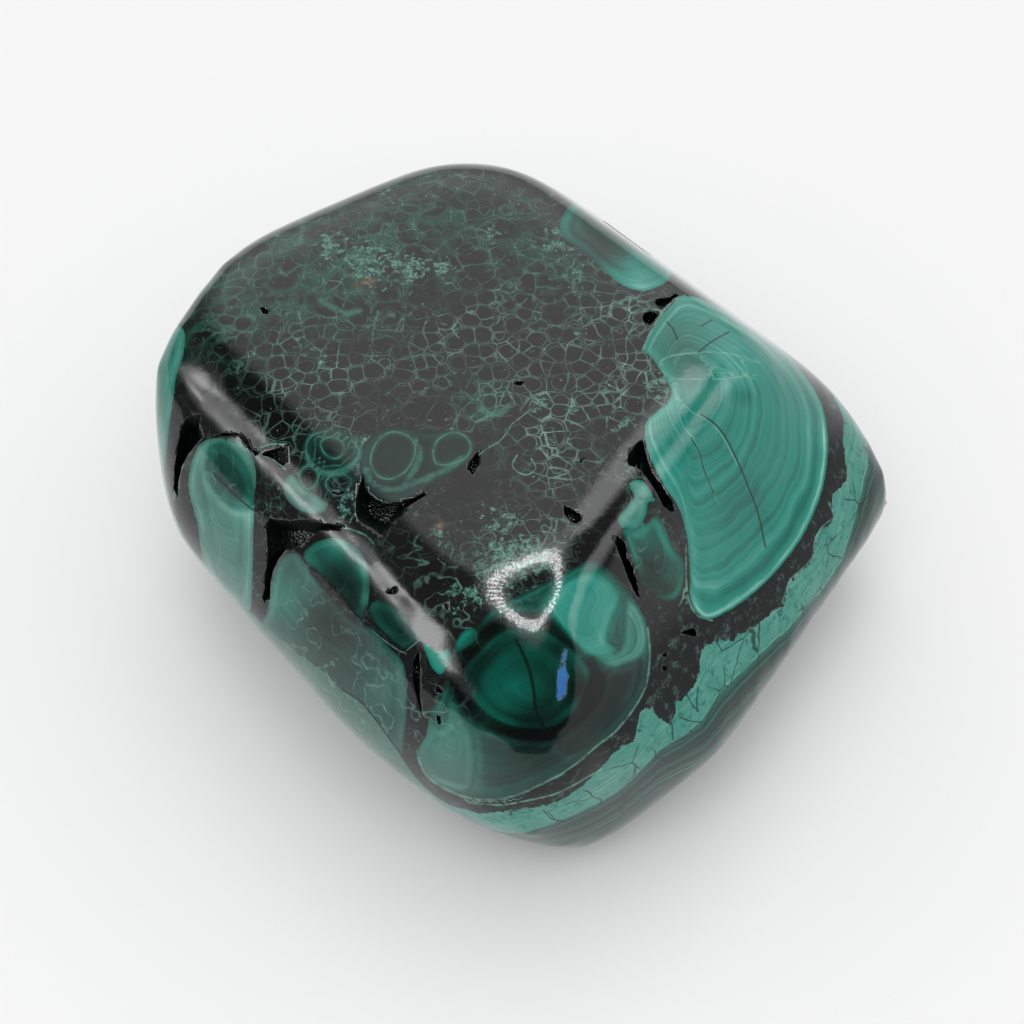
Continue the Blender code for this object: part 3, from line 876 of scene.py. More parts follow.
GREY_AND_PAINTED_SHEEN_SPOTS = [
    # place on the board, radius, change of the share of grey; most are the stone's own grey, a few paint
    # the mirrored room's sheen and glare
    # the spots at (680, 345) and (690, 375) grey the upper right lobe as a painted reflection of the pale
    # room, and those at (655, 430) and (700, 440) grey the painted glare beside the pits
    (680, 345, 30, 0.5), (715, 400, 24, 0.3), (655, 430, 20, 0.35), (335, 680, 34, 0.2),
    (335, 620, 34, 0.4), (250, 512, 16, -0.3), (285, 600, 26, -0.3), (300, 470, 40, 0.2),
    (560, 740, 30, 0.2), (440, 740, 30, -0.2), (690, 375, 14, 0.5), (700, 440, 20, 0.15),
]
ends = np.empty(2 * len(stone.data.edges), dtype=np.int64)
stone.data.edges.foreach_get("vertices", ends)
ends = ends.reshape(-1, 2)
degree = np.bincount(ends.ravel(), minlength=count)


def eased(values, rounds=4):
    """Even out values between neighbouring points, so that one look runs softly into the next."""
    for _ in range(rounds):
        total = (np.bincount(ends[:, 0], values[ends[:, 1]], count)
                 + np.bincount(ends[:, 1], values[ends[:, 0]], count))
        values = (values + total / np.maximum(degree, 1)) / 2
    return values


PALE_RIM = [
    (828, 425, 30, 0.8), (828, 465, 34, 1.0), (812, 515, 36, 1.0), (785, 560, 36, 1.0), (745, 598, 34, 1.0),
    (708, 617, 26, 1.0),
]
BORDER_CALM = 0.35
paint("pale_rim", np.clip(blush(PALE_RIM), 0, 1))
paint("lobe_depth", edge_depth)
paint("shell_number", shells)
# the tone and grey kept on the skin carry the painted glare, sheen and dark reflections of these spots as
# well as the stone's own colour
paint("tone", eased(tone) + blush(TONE_AND_PAINTED_LIGHT_SPOTS))
paint("grey", np.clip(eased(grey) + blush(GREY_AND_PAINTED_SHEEN_SPOTS), 0, 1))
paint("shell_strength", eased(strength * np.clip(border / BORDER_CALM, 0, 1), 1))
print("attributes kept:", len(stone.data.attributes))

# %% [markdown]
# Malachite is a copper carbonate. Its pale shells are fine needles that scatter light; the dark ones are
# coarse and swallow it. The near-black ground between the domes is iron and manganese oxide, cut through by
# a net of thin green cell walls. All of it takes one glassy polish and mirrors about one part in twenty of
# what it faces. That mirror is why the dark ground looks grey under a pale wall.

# %% Node and colour helpers
RECIPES = {
    # what it does: type of node, output, input sockets in order, settings
    "soft_step": ("ShaderNodeMapRange", 0, (0, 1, 2, 3, 4), {"interpolation_type": "SMOOTHSTEP"}),
    "blend": ("ShaderNodeMix", 2, (0, 6, 7), {"data_type": "RGBA"}),
    "noise": ("ShaderNodeTexNoise", 0, ("Vector", "Scale", "Detail", "Roughness"), {}),
    "wave": ("ShaderNodeTexNoise", 0, ("W", "Scale", "Detail", "Roughness"), {"noise_dimensions": "1D"}),
    "toward": ("ShaderNodeVectorMath", "Value", (0, 1), {"operation": "DOT_PRODUCT"}),
}
SUMS = ("ADD", "SUBTRACT", "MULTIPLY", "DIVIDE", "POWER", "SQRT", "ABSOLUTE", "MAXIMUM", "ARCTAN2",
        "COSINE")
RECIPES.update({sum_name: ("ShaderNodeMath", 0, (0, 1), {"operation": sum_name}) for sum_name in SUMS})


def add(tree, kind, *values, out=None, **settings):
    """Add a node, set and link its inputs, and give back one of its outputs.

    The kind is a recipe or a type of node. The values follow the recipe's sockets, or come in one
    dictionary.
    """
    node_type, output, sockets, preset = RECIPES.get(kind, (kind, 0, range(len(values)), {}))
    node = tree.nodes.new(node_type)
    for setting, value in {**preset, **settings}.items():
        setattr(node, setting, value)
    inputs = values[0] if values and isinstance(values[0], dict) else dict(zip(sockets, values))
    for socket, value in inputs.items():
        if isinstance(value, bpy.types.NodeSocket):
            tree.links.new(value, node.inputs[socket])
        else:
            node.inputs[socket].default_value = value
    return node.outputs[output if out is None else out] if node.outputs else node


def per_mm(size_mm):
    """The scale of a pattern whose features are this many millimetres wide."""
    return 1 / (size_mm * MM)


def colour(code):
    """An sRGB hex colour as linear red, green, blue and a full alpha."""
    parts = [int(code[i:i + 2], 16) / 255 for i in (1, 3, 5)]
    return [part / 12.92 if part <= 0.04045 else ((part + 0.055) / 1.055) ** 2.4 for part in parts] + [1.0]


def fill_ramp(shade, stops):
    """Fill the colour ramp that a shade comes from with (position, sRGB hex) stops."""
    elements = shade.node.color_ramp.elements
    while len(elements) < len(stops):
        elements.new(0.5)
    for element, (position, code) in zip(elements, stops):
        element.position = position
        element.color = colour(code)
    return shade


def swing(tree, noise, amount):
    """A noise turned into a swing about nought, this wide in all."""
    return add(tree, "MULTIPLY", add(tree, "SUBTRACT", noise, 0.5), amount)


def band(tree, value, rise_start, rise_end, fall_start, fall_end):
    """One inside a band of values and nought outside it, with soft edges."""
    return add(tree, "MULTIPLY", add(tree, "soft_step", value, rise_start, rise_end),
               add(tree, "soft_step", value, fall_start, fall_end, 1.0, 0.0))


print("ways to add a node:", len(RECIPES))

# %% [markdown]
# The ground between the lobes is a crowd of tiny domes, 1 to 2 mm wide, each with a thin green wall. Cell
# patterns of two sizes give the net, and noises choose which shows and wear gaps in its walls. The walls
# are only colour, because the polish took them down level with the rest.

# %% The ground: a net of cells
POLISH.use_nodes = True
tree = POLISH.node_tree
tree.nodes.clear()
here = add(tree, "ShaderNodeTexCoord", out="Object")
KEPT = ("bare", "below_seam", "bright_walls", "dark_near", "dark_side", "dull", "fine_cells", "grey",
        "in_stripes", "light_near", "light_side", "lobe_depth", "mottle", "pale_rim", "ring", "ring_near",
        "rough", "rust", "scuffed", "shell_number", "shell_strength", "soft_green", "soft_near", "tone",
        "veined")
kept = {name: add(tree, "ShaderNodeAttribute", out="Fac", attribute_name=name) for name in KEPT}


def drift(where, size_mm, amount_mm):
    """Coordinates pushed about by a noise, so that what they draw wavers."""
    push = add(tree, "ShaderNodeVectorMath", add(tree, "noise", where, per_mm(size_mm), 1.0, out="Color"),
               (0.5, 0.5, 0.5), operation="SUBTRACT")
    push = add(tree, "ShaderNodeVectorMath", {0: push, 3: 2 * amount_mm * MM}, operation="SCALE")
    return add(tree, "ShaderNodeVectorMath", where, push, operation="ADD")


# width of a cell in mm, its radius as a share of that, and the thickness of its wall in mm
WIDE_CELLS = (2.1, 0.57, 0.01)
MID_CELLS = (1.2, 0.58, 0.01)


def cell_net(where, size_mm, radius, thin_mm):
    """A net of round cells: walls, the haze along them, the corners between, and a spot in some."""
    nearest = {"Vector": where, "Scale": per_mm(size_mm), "Randomness": 0.95}
    first = add(tree, "ShaderNodeTexVoronoi", nearest, out="Distance", feature="F1")
    second = add(tree, "ShaderNodeTexVoronoi", nearest, out="Distance", feature="F2")
    gap = add(tree, "MULTIPLY", add(tree, "SUBTRACT", second, first), size_mm / 2)
    corner = add(tree, "soft_step", first, radius, radius + 0.12)
    off_circle = add(tree, "ABSOLUTE", add(tree, "SUBTRACT", first, radius))
    arc = add(tree, "soft_step", off_circle, 0.0, 0.04, 0.7, 0.0)
    wall = add(tree, "MAXIMUM", add(tree, "soft_step", gap, thin_mm, thin_mm + 0.035, 1.0, 0.0), arc)
    haze = add(tree, "MAXIMUM", add(tree, "soft_step", gap, 0.0, 0.10 * size_mm, 1.0, 0.0),
               add(tree, "soft_step", off_circle, 0.0, 0.16, 1.0, 0.0))
    chosen = add(tree, "soft_step", first.node.outputs["Color"], 0.55, 0.7)
    spot = add(tree, "MULTIPLY", add(tree, "soft_step", first, 0.10, 0.34, 1.0, 0.0), chosen)
    return wall, add(tree, "MAXIMUM", add(tree, "MULTIPLY", haze, 0.8), corner), corner, spot


wavering = drift(drift(here, 1.6, 0.22), 0.45, 0.05)
wide_wall, wide_haze, wide_corner, wide_spot = cell_net(wavering, *WIDE_CELLS)
mid_wall, mid_haze, mid_corner = cell_net(wavering, *MID_CELLS)[:3]
fine_zone = kept["fine_cells"]
bright = kept["bright_walls"]
soft = kept["soft_green"]
bare = kept["bare"]
patchy = add(tree, "noise", here, per_mm(4.0), 2.0)
swells = add(tree, "noise", here, per_mm(2.8), 1.0)
clumps = add(tree, "noise", here, per_mm(2.6), 3.0, 0.6)
cover = add(tree, "MULTIPLY", add(tree, "SUBTRACT", 1.0, bare, use_clamp=True),
            add(tree, "soft_step", swells, 0.34, 0.5, 0.35, 1.0))
grain = add(tree, "noise", here, per_mm(0.22), 3.0, 0.7)
wall_noise = add(tree, "noise", here, per_mm(0.8), 3.0, 0.65)

finer = add(tree, "MULTIPLY", add(tree, "MAXIMUM", bright, fine_zone), 0.25)
mid_share = add(tree, "soft_step", add(tree, "ADD", clumps, finer), 0.47, 0.53)
wall = add(tree, "MULTIPLY", wide_wall, add(tree, "SUBTRACT", 1.0, mid_share))
wall = add(tree, "MAXIMUM", wall, add(tree, "MULTIPLY", mid_wall, mid_share))
strong = add(tree, "MULTIPLY", add(tree, "soft_step", wall_noise, 0.30, 0.62, 0.15, 1.0),
             add(tree, "soft_step", patchy, 0.36, 0.6, 0.35, 1.0))
wall = add(tree, "MULTIPLY", wall,
           add(tree, "ADD", add(tree, "MULTIPLY", strong, 0.8), add(tree, "MULTIPLY", bright, 0.3)))
walls = add(tree, "MULTIPLY", wall, cover)
other_share = add(tree, "SUBTRACT", 1.0, mid_share)
corners = add(tree, "ADD", add(tree, "MULTIPLY", wide_corner, other_share),
              add(tree, "MULTIPLY", mid_corner, mid_share))
corners = add(tree, "MULTIPLY", corners, cover)
haze = add(tree, "ADD", add(tree, "MULTIPLY", wide_haze, other_share),
           add(tree, "MULTIPLY", mid_haze, mid_share))
haze = add(tree, "MAXIMUM", haze, add(tree, "MULTIPLY", wide_spot, other_share))

# %% The ground: its colours
mottle_noise = add(tree, "noise", wavering, per_mm(0.55), 3.0, 0.7)
mottle_depth = add(tree, "ADD", add(tree, "MULTIPLY", kept["mottle"], 0.26), mottle_noise)
mottle = add(tree, "soft_step", mottle_depth, 0.64, 0.76)
specks = add(tree, "MULTIPLY", add(tree, "MULTIPLY", corners, add(tree, "soft_step", grain, 0.56, 0.68)),
             add(tree, "soft_step", wall_noise, 0.4, 0.6))
green_haze = add(tree, "MULTIPLY", haze, add(tree, "ADD", add(tree, "MULTIPLY", soft, 0.9), 0.08))
cloud = add(tree, "MULTIPLY", add(tree, "MULTIPLY", soft, add(tree, "soft_step", clumps, 0.48, 0.68)), 0.8)
green_haze = add(tree, "MULTIPLY", add(tree, "MAXIMUM", green_haze, cloud), cover)
ground = add(tree, "blend", patchy, colour("#131313"), colour("#1B1A1B"))
ground = add(tree, "blend", add(tree, "MULTIPLY", fine_zone, 0.85), ground, colour("#070808"))
ground = add(tree, "blend", green_haze, ground, colour("#1A4438"))
ground = add(tree, "blend", add(tree, "MULTIPLY", walls, 0.8), ground,
             add(tree, "blend", bright, colour("#527A70"), colour("#7E9F95")))
ground = add(tree, "blend", add(tree, "MULTIPLY", specks, 0.55), ground, colour("#6FA594"))
ground = add(tree, "blend", add(tree, "MULTIPLY", mottle, 0.75), ground,
             add(tree, "blend", add(tree, "soft_step", grain, 0.35, 0.65), colour("#1F4C40"),
                 colour("#6E9F90")))

# The seam: matt black earth with crumbs of green and pinholes.
rough = kept["rough"]
crumb = add(tree, "soft_step", add(tree, "ADD", wall_noise, add(tree, "MULTIPLY", grain, 0.5)), 0.78, 0.95,
            0.0, 0.55)
earth = add(tree, "blend", crumb, colour("#0B1011"), colour("#49665D"))
earth = add(tree, "blend", add(tree, "soft_step", add(tree, "noise", here, per_mm(0.4), 1.0), 0.70, 0.74),
            earth, colour("#020303"))
ground = add(tree, "blend", rough, ground, earth)

rust = add(tree, "MULTIPLY", kept["rust"], add(tree, "soft_step", wall_noise, 0.40, 0.55))
ground = add(tree, "blend", rust, ground, colour("#7A5238"))
# Tiny near-white dots, left off the matt seam, are painted glints of the polish.
painted_glints = add(tree, "MULTIPLY", add(tree, "soft_step", grain, 0.72, 0.76), add(tree, "SUBTRACT", 1.0, rough))
ground = add(tree, "blend", add(tree, "MULTIPLY", painted_glints, 0.7), ground, colour("#C4D6CF"))

# %% [markdown]
# In a lobe the tone goes up and down with the distance grown from the heart, as layer after layer of
# malachite settled. A broad and a narrow wave of noise along that distance give shells that are never
# evenly spaced. The tone then picks a green from dark to pale, and the share of grey tells how much oxide
# is in it.

# %% The lobes: shells of pale and dark green
TONES = ((0.0, "#020B08"), (0.18, "#04281F"), (0.36, "#074E41"), (0.55, "#0B7D6E"), (0.70, "#2C8C7E"),
         (0.85, "#55A092"), (1.0, "#8FC7B8"))
GREYS = ((0.0, "#0A0C0B"), (0.3, "#1A2B27"), (0.5, "#2C4740"), (0.62, "#3E5A51"), (0.75, "#547A6C"),
         (0.88, "#70958A"), (1.0, "#9DBBAE"))


def stone_shade(tree, tone, grey):
    """Malachite from dark to pale, with a share of grey where the skin has oxide in it."""
    return add(tree, "blend", grey, fill_ramp(add(tree, "ShaderNodeValToRGB", tone), TONES),
               fill_ramp(add(tree, "ShaderNodeValToRGB", tone), GREYS))


number = add(tree, "ADD", kept["shell_number"], swing(tree, swells, 0.5))
broad = add(tree, "wave", number, 0.6, 1.0)
narrow = add(tree, "wave", number, 1.7, 2.5, 0.65)
shell_wave = add(tree, "ADD", swing(tree, broad, 0.28), swing(tree, narrow, 0.75))
edge = add(tree, "ADD", kept["lobe_depth"],
           swing(tree, add(tree, "noise", here, per_mm(0.7), 2.0, 0.6), 0.12))
rim = band(tree, edge, 0.05, 0.3, 0.35, 0.9)
lobe_tone = add(tree, "ADD", kept["tone"], add(tree, "MULTIPLY", shell_wave, kept["shell_strength"]))
lobe_tone = add(tree, "ADD", lobe_tone, add(tree, "MULTIPLY", add(tree, "MULTIPLY", rim, swells), 0.22))
pale_rim = band(tree, edge, 0.10, 0.2, 0.22, 0.5)
lobe_tone = add(tree, "ADD", lobe_tone,
                add(tree, "MULTIPLY", add(tree, "MULTIPLY", pale_rim, kept["pale_rim"]), 0.15))
lobe_tone = add(tree, "ADD", lobe_tone, swing(tree, clumps, 0.2))
lobes = stone_shade(tree, lobe_tone, kept["grey"])
skin_colour = add(tree, "blend", add(tree, "soft_step", edge, -0.02, 0.05), ground, lobes)

# %% Rings of single domes in the ground
ring_waver = swing(tree, wall_noise, 0.16)
ring_gap = add(tree, "ABSOLUTE", add(tree, "ADD", kept["ring"], ring_waver))
ring_here = add(tree, "soft_step", kept["ring_near"], 0.4, 0.5, 1.0, 0.0)
soft_ring = add(tree, "MULTIPLY", add(tree, "soft_step", ring_gap, 0.0, 0.40, 0.6, 0.0), ring_here)
crisp_ring = add(tree, "MULTIPLY", add(tree, "soft_step", ring_gap, 0.03, 0.10, 0.5, 0.0), ring_here)
crisp_ring = add(tree, "MULTIPLY", crisp_ring, add(tree, "soft_step", wall_noise, 0.3, 0.6, 0.2, 1.0))
skin_colour = add(tree, "blend", soft_ring, skin_colour, colour("#1A4A3D"))
skin_colour = add(tree, "blend", crisp_ring, skin_colour, colour("#56897A"))

# %% [markdown]
# The layers lie under the seam, so they are laid over what is drawn so far. Their borders are ragged by a
# noise, the pale layer is split by a coarse net of cracks, and the fine bands are a wave of noise along the
# height.

# %% The layers under the seam
jag = add(tree, "ADD", swing(tree, add(tree, "noise", here, per_mm(0.8), 4.0, 0.7), 1.7),
          swing(tree, swells, 0.6))
below = add(tree, "ADD", kept["below_seam"], jag)
stripe_depth = add(tree, "ADD", kept["in_stripes"], swing(tree, swells, 0.9))
stripe = add(tree, "wave", stripe_depth, 1.5, 3.0, 0.6)
pale_tone = add(tree, "ADD", swing(tree, stripe, 0.35), 0.76)
speckle = add(tree, "ADD", add(tree, "MULTIPLY", grain, 0.4), add(tree, "MULTIPLY", wall_noise, 0.6))
speckle = add(tree, "MULTIPLY", add(tree, "soft_step", speckle, 0.5, 0.66), 0.22)
pale_tone = add(tree, "SUBTRACT", pale_tone, speckle)
pale_tone = add(tree, "ADD", pale_tone, swing(tree, clumps, 0.25))
pale_layer = stone_shade(tree, pale_tone, 0.35)
stripe_tone = add(tree, "ADD", swing(tree, stripe, 1.6), 0.31)
striped = stone_shade(tree, stripe_tone, 0.6)
layers = add(tree, "blend", add(tree, "soft_step", stripe_depth, -0.03, 0.06), pale_layer, striped)
join_line = add(tree, "soft_step", add(tree, "ABSOLUTE", add(tree, "ADD", stripe_depth, 0.18)), 0.02, 0.12,
                0.45, 0.0)
layers = add(tree, "blend", add(tree, "MULTIPLY", join_line, add(tree, "soft_step", wall_noise, 0.35, 0.6)),
             layers, colour("#8CC4B4"))
split = add(tree, "ShaderNodeTexVoronoi", {"Vector": wavering, "Scale": per_mm(3.2)}, out="Distance",
            feature="DISTANCE_TO_EDGE")
split = add(tree, "MULTIPLY", add(tree, "soft_step", split, 0.008, 0.022, 1.0, 0.0),
            add(tree, "soft_step", patchy, 0.5, 0.56))
layers = add(tree, "blend", add(tree, "MULTIPLY", split, 0.8), layers, colour("#0B1F1A"))
layers = add(tree, "blend", add(tree, "MULTIPLY", kept["dull"], 0.75), layers,
             add(tree, "blend", wall_noise, colour("#26352F"), colour("#5C776B")))
edge_line = add(tree, "soft_step", add(tree, "ABSOLUTE", below), 0.04, 0.16, 0.7, 0.0)
edge_line = add(tree, "MULTIPLY", edge_line, add(tree, "soft_step", clumps, 0.42, 0.55))
skin_colour = add(tree, "blend", add(tree, "MULTIPLY", edge_line, add(tree, "SUBTRACT", 1.0, kept["dull"])),
                  skin_colour, colour("#78B09F"))
skin_colour = add(tree, "blend", add(tree, "soft_step", below, -0.02, 0.05), skin_colour, layers)

# %% Lines: veins, rims and cracks
light_line = add(tree, "MULTIPLY",
                 add(tree, "soft_step", add(tree, "ABSOLUTE", kept["light_side"]), 0.5, 1.3, 1.0, 0.0),
                 add(tree, "soft_step", kept["light_near"], 0.2, 0.27, 1.0, 0.0))
dark_line = add(tree, "MULTIPLY",
                add(tree, "soft_step", add(tree, "ABSOLUTE", kept["dark_side"]), 0.5, 1.3, 1.0, 0.0),
                add(tree, "soft_step", kept["dark_near"], 0.2, 0.27, 1.0, 0.0))
soft_line = add(tree, "soft_step", add(tree, "ADD", kept["soft_near"], swing(tree, wall_noise, 0.5)), 0.05,
                0.34, 0.5, 0.0)
skin_colour = add(tree, "blend", soft_line, skin_colour, colour("#3F7C6C"))
contour = add(tree, "ABSOLUTE",
              add(tree, "SUBTRACT", add(tree, "noise", wavering, per_mm(1.7), 1.5, 0.5), 0.52))
vein = add(tree, "MULTIPLY", add(tree, "soft_step", contour, 0.004, 0.028, 0.45, 0.0), kept["veined"])
vein = add(tree, "MULTIPLY", vein, add(tree, "soft_step", wall_noise, 0.35, 0.6, 0.2, 1.0))
skin_colour = add(tree, "blend", vein, skin_colour, colour("#6FA391"))
light_line = add(tree, "MULTIPLY", light_line, add(tree, "soft_step", wall_noise, 0.3, 0.65, 0.1, 0.6))
skin_colour = add(tree, "blend", light_line, skin_colour, colour("#74AC9B"))
skin_colour = add(tree, "blend", add(tree, "MULTIPLY", dark_line, 0.85), skin_colour, colour("#071612"))

# %% [markdown]
# Tumbling ends with a felt and tin oxide, which leaves malachite as smooth as glass with a faint ripple
# where hard and soft shells wear unevenly. The ripple is too low for the mesh, so it is a small bump.
# Scuffs and the earthy seam are rougher and mirror less than the polished shells.

# %% Polish
POLISH_IOR = 1.42
POLISHED, SEAM_DULLNESS = 0.06, 0.10
RIPPLE_WIDTH, RIPPLE_HEIGHT = 0.45, 0.016  # mm
ripple = add(tree, "noise", here, per_mm(RIPPLE_WIDTH), 2.0, 0.6)
bump = add(tree, "ShaderNodeBump", {"Strength": 0.3, "Distance": RIPPLE_HEIGHT * MM, "Height": ripple})
scuffs = add(tree, "MULTIPLY", kept["scuffed"], add(tree, "soft_step", clumps, 0.38, 0.58, 0.06, 0.30))
roughness = add(tree, "ADD", add(tree, "MULTIPLY", rough, SEAM_DULLNESS), scuffs)
roughness = add(tree, "ADD", roughness, POLISHED)
mirror = add(tree, "SUBTRACT", 0.5, add(tree, "MULTIPLY", rough, 0.3))
gloss = add(tree, "ShaderNodeBsdfPrincipled",
            {"Base Color": skin_colour, "Roughness": roughness, "IOR": POLISH_IOR,
             "Specular IOR Level": mirror, "Normal": bump})
add(tree, "ShaderNodeOutputMaterial", {"Surface": gloss})
print("polish nodes:", len(tree.nodes))

# %% [markdown]
# Inside the clefts the last malachite and iron oxide grew free, as a crust of crystals a tenth of a
# millimetre across that no polish reached. Single crystals would take millions of faces, so grains of a
# cell pattern are raised in the bump. The crust is almost black, with green only where the grains are
# thickest.

# %% The clefts: crystal crust
LINING.use_nodes = True
tree = LINING.node_tree
tree.nodes.clear()
here = add(tree, "ShaderNodeTexCoord", out="Object")
crumbs = add(tree, "ShaderNodeTexVoronoi", {"Vector": here, "Scale": per_mm(0.16)}, out="Distance",
             feature="F1")
crust = fill_ramp(add(tree, "ShaderNodeValToRGB", add(tree, "noise", here, per_mm(0.35), 3.0, 0.7)),
                  ((0.35, "#020403"), (0.55, "#0A1512"), (0.72, "#1D4A3C")))
crust_bump = add(tree, "ShaderNodeBump", {"Strength": 1.0, "Distance": 0.08 * MM, "Height": crumbs})
crust_gloss = add(tree, "ShaderNodeBsdfPrincipled",
                  {"Base Color": crust, "Roughness": 0.3, "IOR": 1.7, "Normal": crust_bump})
add(tree, "ShaderNodeOutputMaterial", {"Surface": crust_gloss})

# %% [markdown]
# The camera stands at the eye that the board was drawn from, 17 cm away, with a long lens of 80 mm. A long
# lens keeps the near end of the stone from swelling.

# %% Camera
camera = bpy.data.objects.new("camera", bpy.data.cameras.new("camera"))
bpy.context.collection.objects.link(camera)
camera.data.lens = LENS
camera.data.sensor_width = SENSOR
camera.data.clip_start = 10 * MM
camera.location = EYE
camera.rotation_euler = (-SIGHT_BACK).to_track_quat("-Z", "Y").to_euler()
bpy.context.scene.camera = camera
print("camera distance in mm:", round(SIGHT_DISTANCE / MM, 1))

# %% [markdown]
# The stone lies on a pale matt sheet in a white room. A polished stone shows its room, so the room is laid
# out with care: a pale wall behind, a bright window with a blind on the left, a side wall and a bright
# strip on the right, a small lamp behind, a dark figure where the eye is, a beaded oval ring lamp almost
# overhead, and a small blue window beyond the figure. The room is worked out in the world by direction,
# which needs no extra pieces. Only the gloss sees it; an even sky and two soft cloth lamps light the stone
# and the floor.

# %% Floor
FLOOR_RADIUS = 0.4
bpy.ops.object.select_all(action="DESELECT")
bpy.ops.mesh.primitive_circle_add(vertices=96, radius=FLOOR_RADIUS, fill_type="NGON")
floor = bpy.context.object
floor.name = "floor"
paper = bpy.data.materials.new("matt_paper")
paper.use_nodes = True
paper_gloss = paper.node_tree.nodes["Principled BSDF"]
paper_gloss.inputs["Base Color"].default_value = colour("#F4F4F4")
paper_gloss.inputs["Roughness"].default_value = 0.9
paper_gloss.inputs["Specular IOR Level"].default_value = 0.0
floor.data.materials.append(paper)
print("floor radius in mm:", round(FLOOR_RADIUS / MM))

# %% Room
# brightness of each thing in the room
WALL_GLOW, BLIND_GLOW, STRIP_GLOW, SIDE_LAMP_GLOW, DIM_ROOM = 1.35, 1.6, 3.0, 3.0, 0.08
room = bpy.data.worlds.new("white_room")
bpy.context.scene.world = room
room.use_nodes = True
tree = room.node_tree
tree.nodes.clear()
way = add(tree, "ShaderNodeTexCoord", out="Generated")
across, along, height = add(tree, "ShaderNodeSeparateXYZ", way).node.outputs
turn_to_left = add(tree, "ARCTAN2", across, along)
back_wall = band(tree, turn_to_left, -0.66, -0.40, 0.60, 0.70)
back_wall = add(tree, "MULTIPLY", back_wall, add(tree, "soft_step", height, -0.1, 0.45, 0.3, 1.0))
leftward = add(tree, "soft_step", across, -0.30, -0.44)
blind = band(tree, height, 0.26, 0.42, 0.66, 0.78)
pane = band(tree, height, 0.38, 0.46, 0.68, 0.75)
glazing = add(tree, "noise", way, 3.0, 1.0)
pane = add(tree, "MULTIPLY", pane, add(tree, "soft_step", glazing, 0.38, 0.60, 0.8, 9.0))
window = add(tree, "MULTIPLY", add(tree, "ADD", add(tree, "MULTIPLY", blind, BLIND_GLOW), pane), leftward)
window = add(tree, "MULTIPLY", window, add(tree, "soft_step", along, 0.20, 0.34, 1.0, 0.0))
strip = band(tree, across, 0.48, 0.53, 0.58, 0.68)
strip_end = add(tree, "MULTIPLY", add(tree, "soft_step", height, 0.3, 0.6),
                add(tree, "soft_step", along, 0.42, 0.56, 1.0, 0.0))
strip = add(tree, "MULTIPLY", strip, strip_end)
side_wall = add(tree, "MULTIPLY", add(tree, "soft_step", across, 0.40, 0.52),
                add(tree, "soft_step", height, 0.60, 0.74, 0.9, 0.0))


def disc(turn, slope, outer, inner):
    """A soft round patch of the room: its bearing, and the degrees off it where it ends and is full."""
    off = add(tree, "toward", way, bearing(turn, slope).normalized())
    return add(tree, "soft_step", off, math.cos(math.radians(outer)), math.cos(math.radians(inner)))


side_lamp = disc(60, 54, 9, 5)
figure = disc(285, 33, 31, 27)
room_light = add(tree, "MAXIMUM", add(tree, "MULTIPLY", back_wall, WALL_GLOW), side_wall)
room_light = add(tree, "ADD", room_light, window)
lamps = add(tree, "ADD", add(tree, "MULTIPLY", strip, STRIP_GLOW),
            add(tree, "MULTIPLY", side_lamp, SIDE_LAMP_GLOW))
room_light = add(tree, "ADD", room_light, lamps)
room_light = add(tree, "MULTIPLY", room_light, add(tree, "SUBTRACT", 1.0, figure))
room_light = add(tree, "ADD", room_light, DIM_ROOM)
print("room nodes before the ring lamp:", len(tree.nodes))

# %% The ring lamp: an oval of bright beads, almost overhead
RING_MIDDLE, RING_REACH = (0.14, -0.10), (0.165, 0.42)
RING_WIDTH, RING_BEADS = 0.15, 46.0
RING_GLOW, HALO_GLOW = 30.0, 3.0
ring_across = add(tree, "DIVIDE", add(tree, "SUBTRACT", across, RING_MIDDLE[0]), RING_REACH[0])
ring_along = add(tree, "DIVIDE", add(tree, "SUBTRACT", along, RING_MIDDLE[1]), RING_REACH[1])
squares = add(tree, "ADD", add(tree, "POWER", ring_across, 2.0), add(tree, "POWER", ring_along, 2.0))
from_middle = add(tree, "SQRT", squares)
off_ring = add(tree, "ABSOLUTE", add(tree, "SUBTRACT", from_middle, 1.0))
round_ring = add(tree, "MULTIPLY", add(tree, "ARCTAN2", ring_along, ring_across), RING_BEADS)
beads = add(tree, "soft_step", add(tree, "COSINE", round_ring), -0.3, 0.7)
ring_light = add(tree, "soft_step", off_ring, RING_WIDTH * 0.6, RING_WIDTH, RING_GLOW, 0.0)
ring_light = add(tree, "MULTIPLY", ring_light, beads)
halo = add(tree, "soft_step", off_ring, 0.0, RING_WIDTH * 3, HALO_GLOW, 0.0)
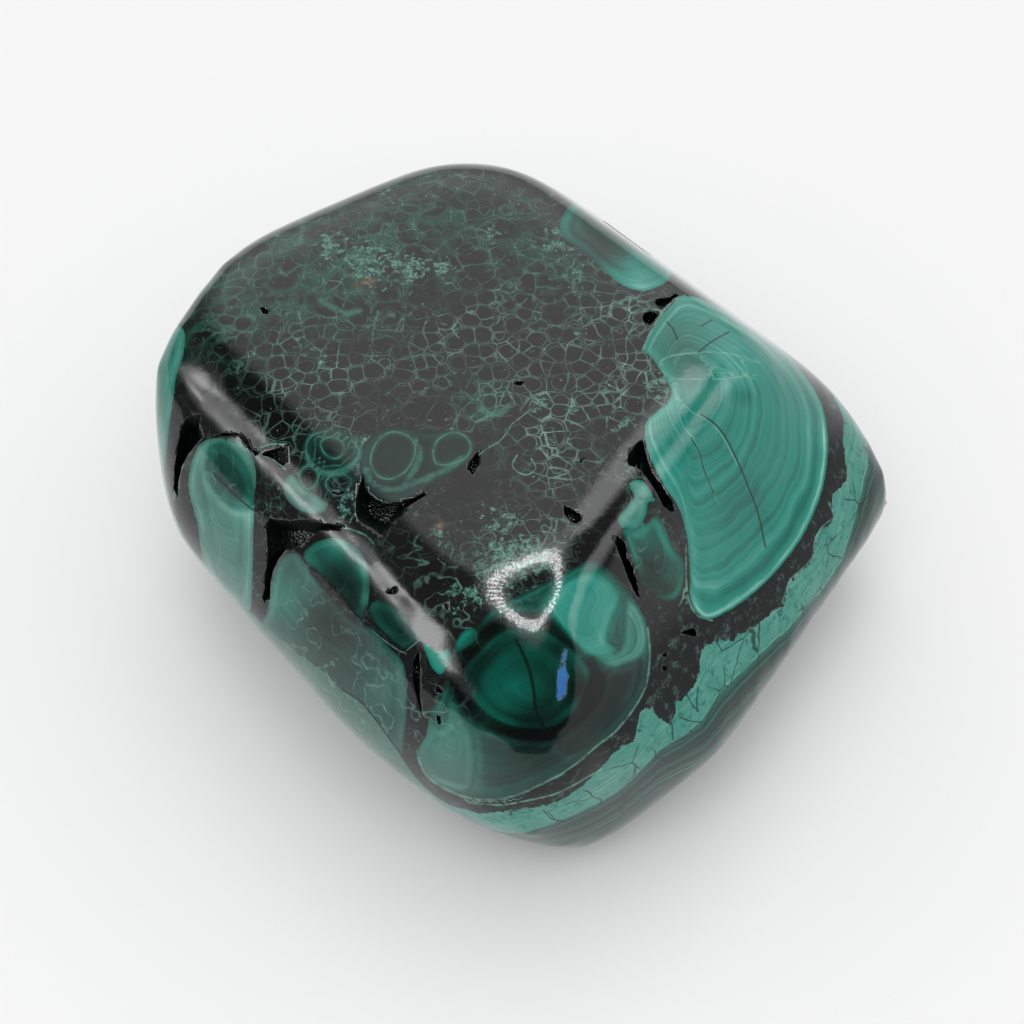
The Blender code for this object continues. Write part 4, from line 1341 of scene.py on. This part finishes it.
ring_light = add(tree, "ADD", ring_light, halo)
ring_light = add(tree, "MULTIPLY", ring_light, add(tree, "soft_step", height, 0.4, 0.5))
room_light = add(tree, "ADD", room_light, ring_light)

# %% A small blue window beyond the figure
WINDOW_GLOW, WINDOW_TURN = 12.0, math.radians(-57)
SOFT_SKY = 0.72  # what lights the stone and the floor evenly; only the gloss sees the room itself
small_window = band(tree, height, 0.46, 0.48, 0.59, 0.61)
turn_off = add(tree, "SUBTRACT", add(tree, "ARCTAN2", along, across), WINDOW_TURN)
turn_off = add(tree, "ABSOLUTE", turn_off)
window_side = add(tree, "soft_step", turn_off, math.radians(4), math.radians(5), 1.0, 0.0)
small_window = add(tree, "MULTIPLY", small_window, window_side)
room_light = add(tree, "ADD", room_light, add(tree, "MULTIPLY", small_window, WINDOW_GLOW))
seen_in_gloss = add(tree, "ShaderNodeLightPath", out="Is Glossy Ray")
sky = add(tree, "ShaderNodeMix", {0: seen_in_gloss, 2: SOFT_SKY, 3: room_light}, out=0)
tint = add(tree, "blend", add(tree, "MULTIPLY", small_window, seen_in_gloss), colour("#FFFFFF"),
           colour("#5C9BFF"))
shine = add(tree, "ShaderNodeBackground", {"Color": tint, "Strength": sky})
add(tree, "ShaderNodeOutputWorld", {"Surface": shine})
print("room nodes:", len(tree.nodes))

# %% Lamps
LAMP_DISTANCE = 0.9


def softbox(name, turn, slope, size, watts):
    """A round cloth lamp that faces the stone and stays out of its mirror."""
    lamp = bpy.data.objects.new(name, bpy.data.lights.new(name, "AREA"))
    bpy.context.collection.objects.link(lamp)
    lamp.location = bearing(turn, slope) * LAMP_DISTANCE
    lamp.rotation_euler = bearing(turn, slope).to_track_quat("Z", "Y").to_euler()
    lamp.data.shape = "DISK"
    lamp.data.size = size
    lamp.data.energy = watts
    lamp.visible_glossy = False
    return lamp


softbox("overhead_cloth", 95, 76, 0.6, 1.0)
softbox("front_cloth", 264, 62, 0.7, 2.3)
bpy.context.scene.view_settings.view_transform = "Standard"
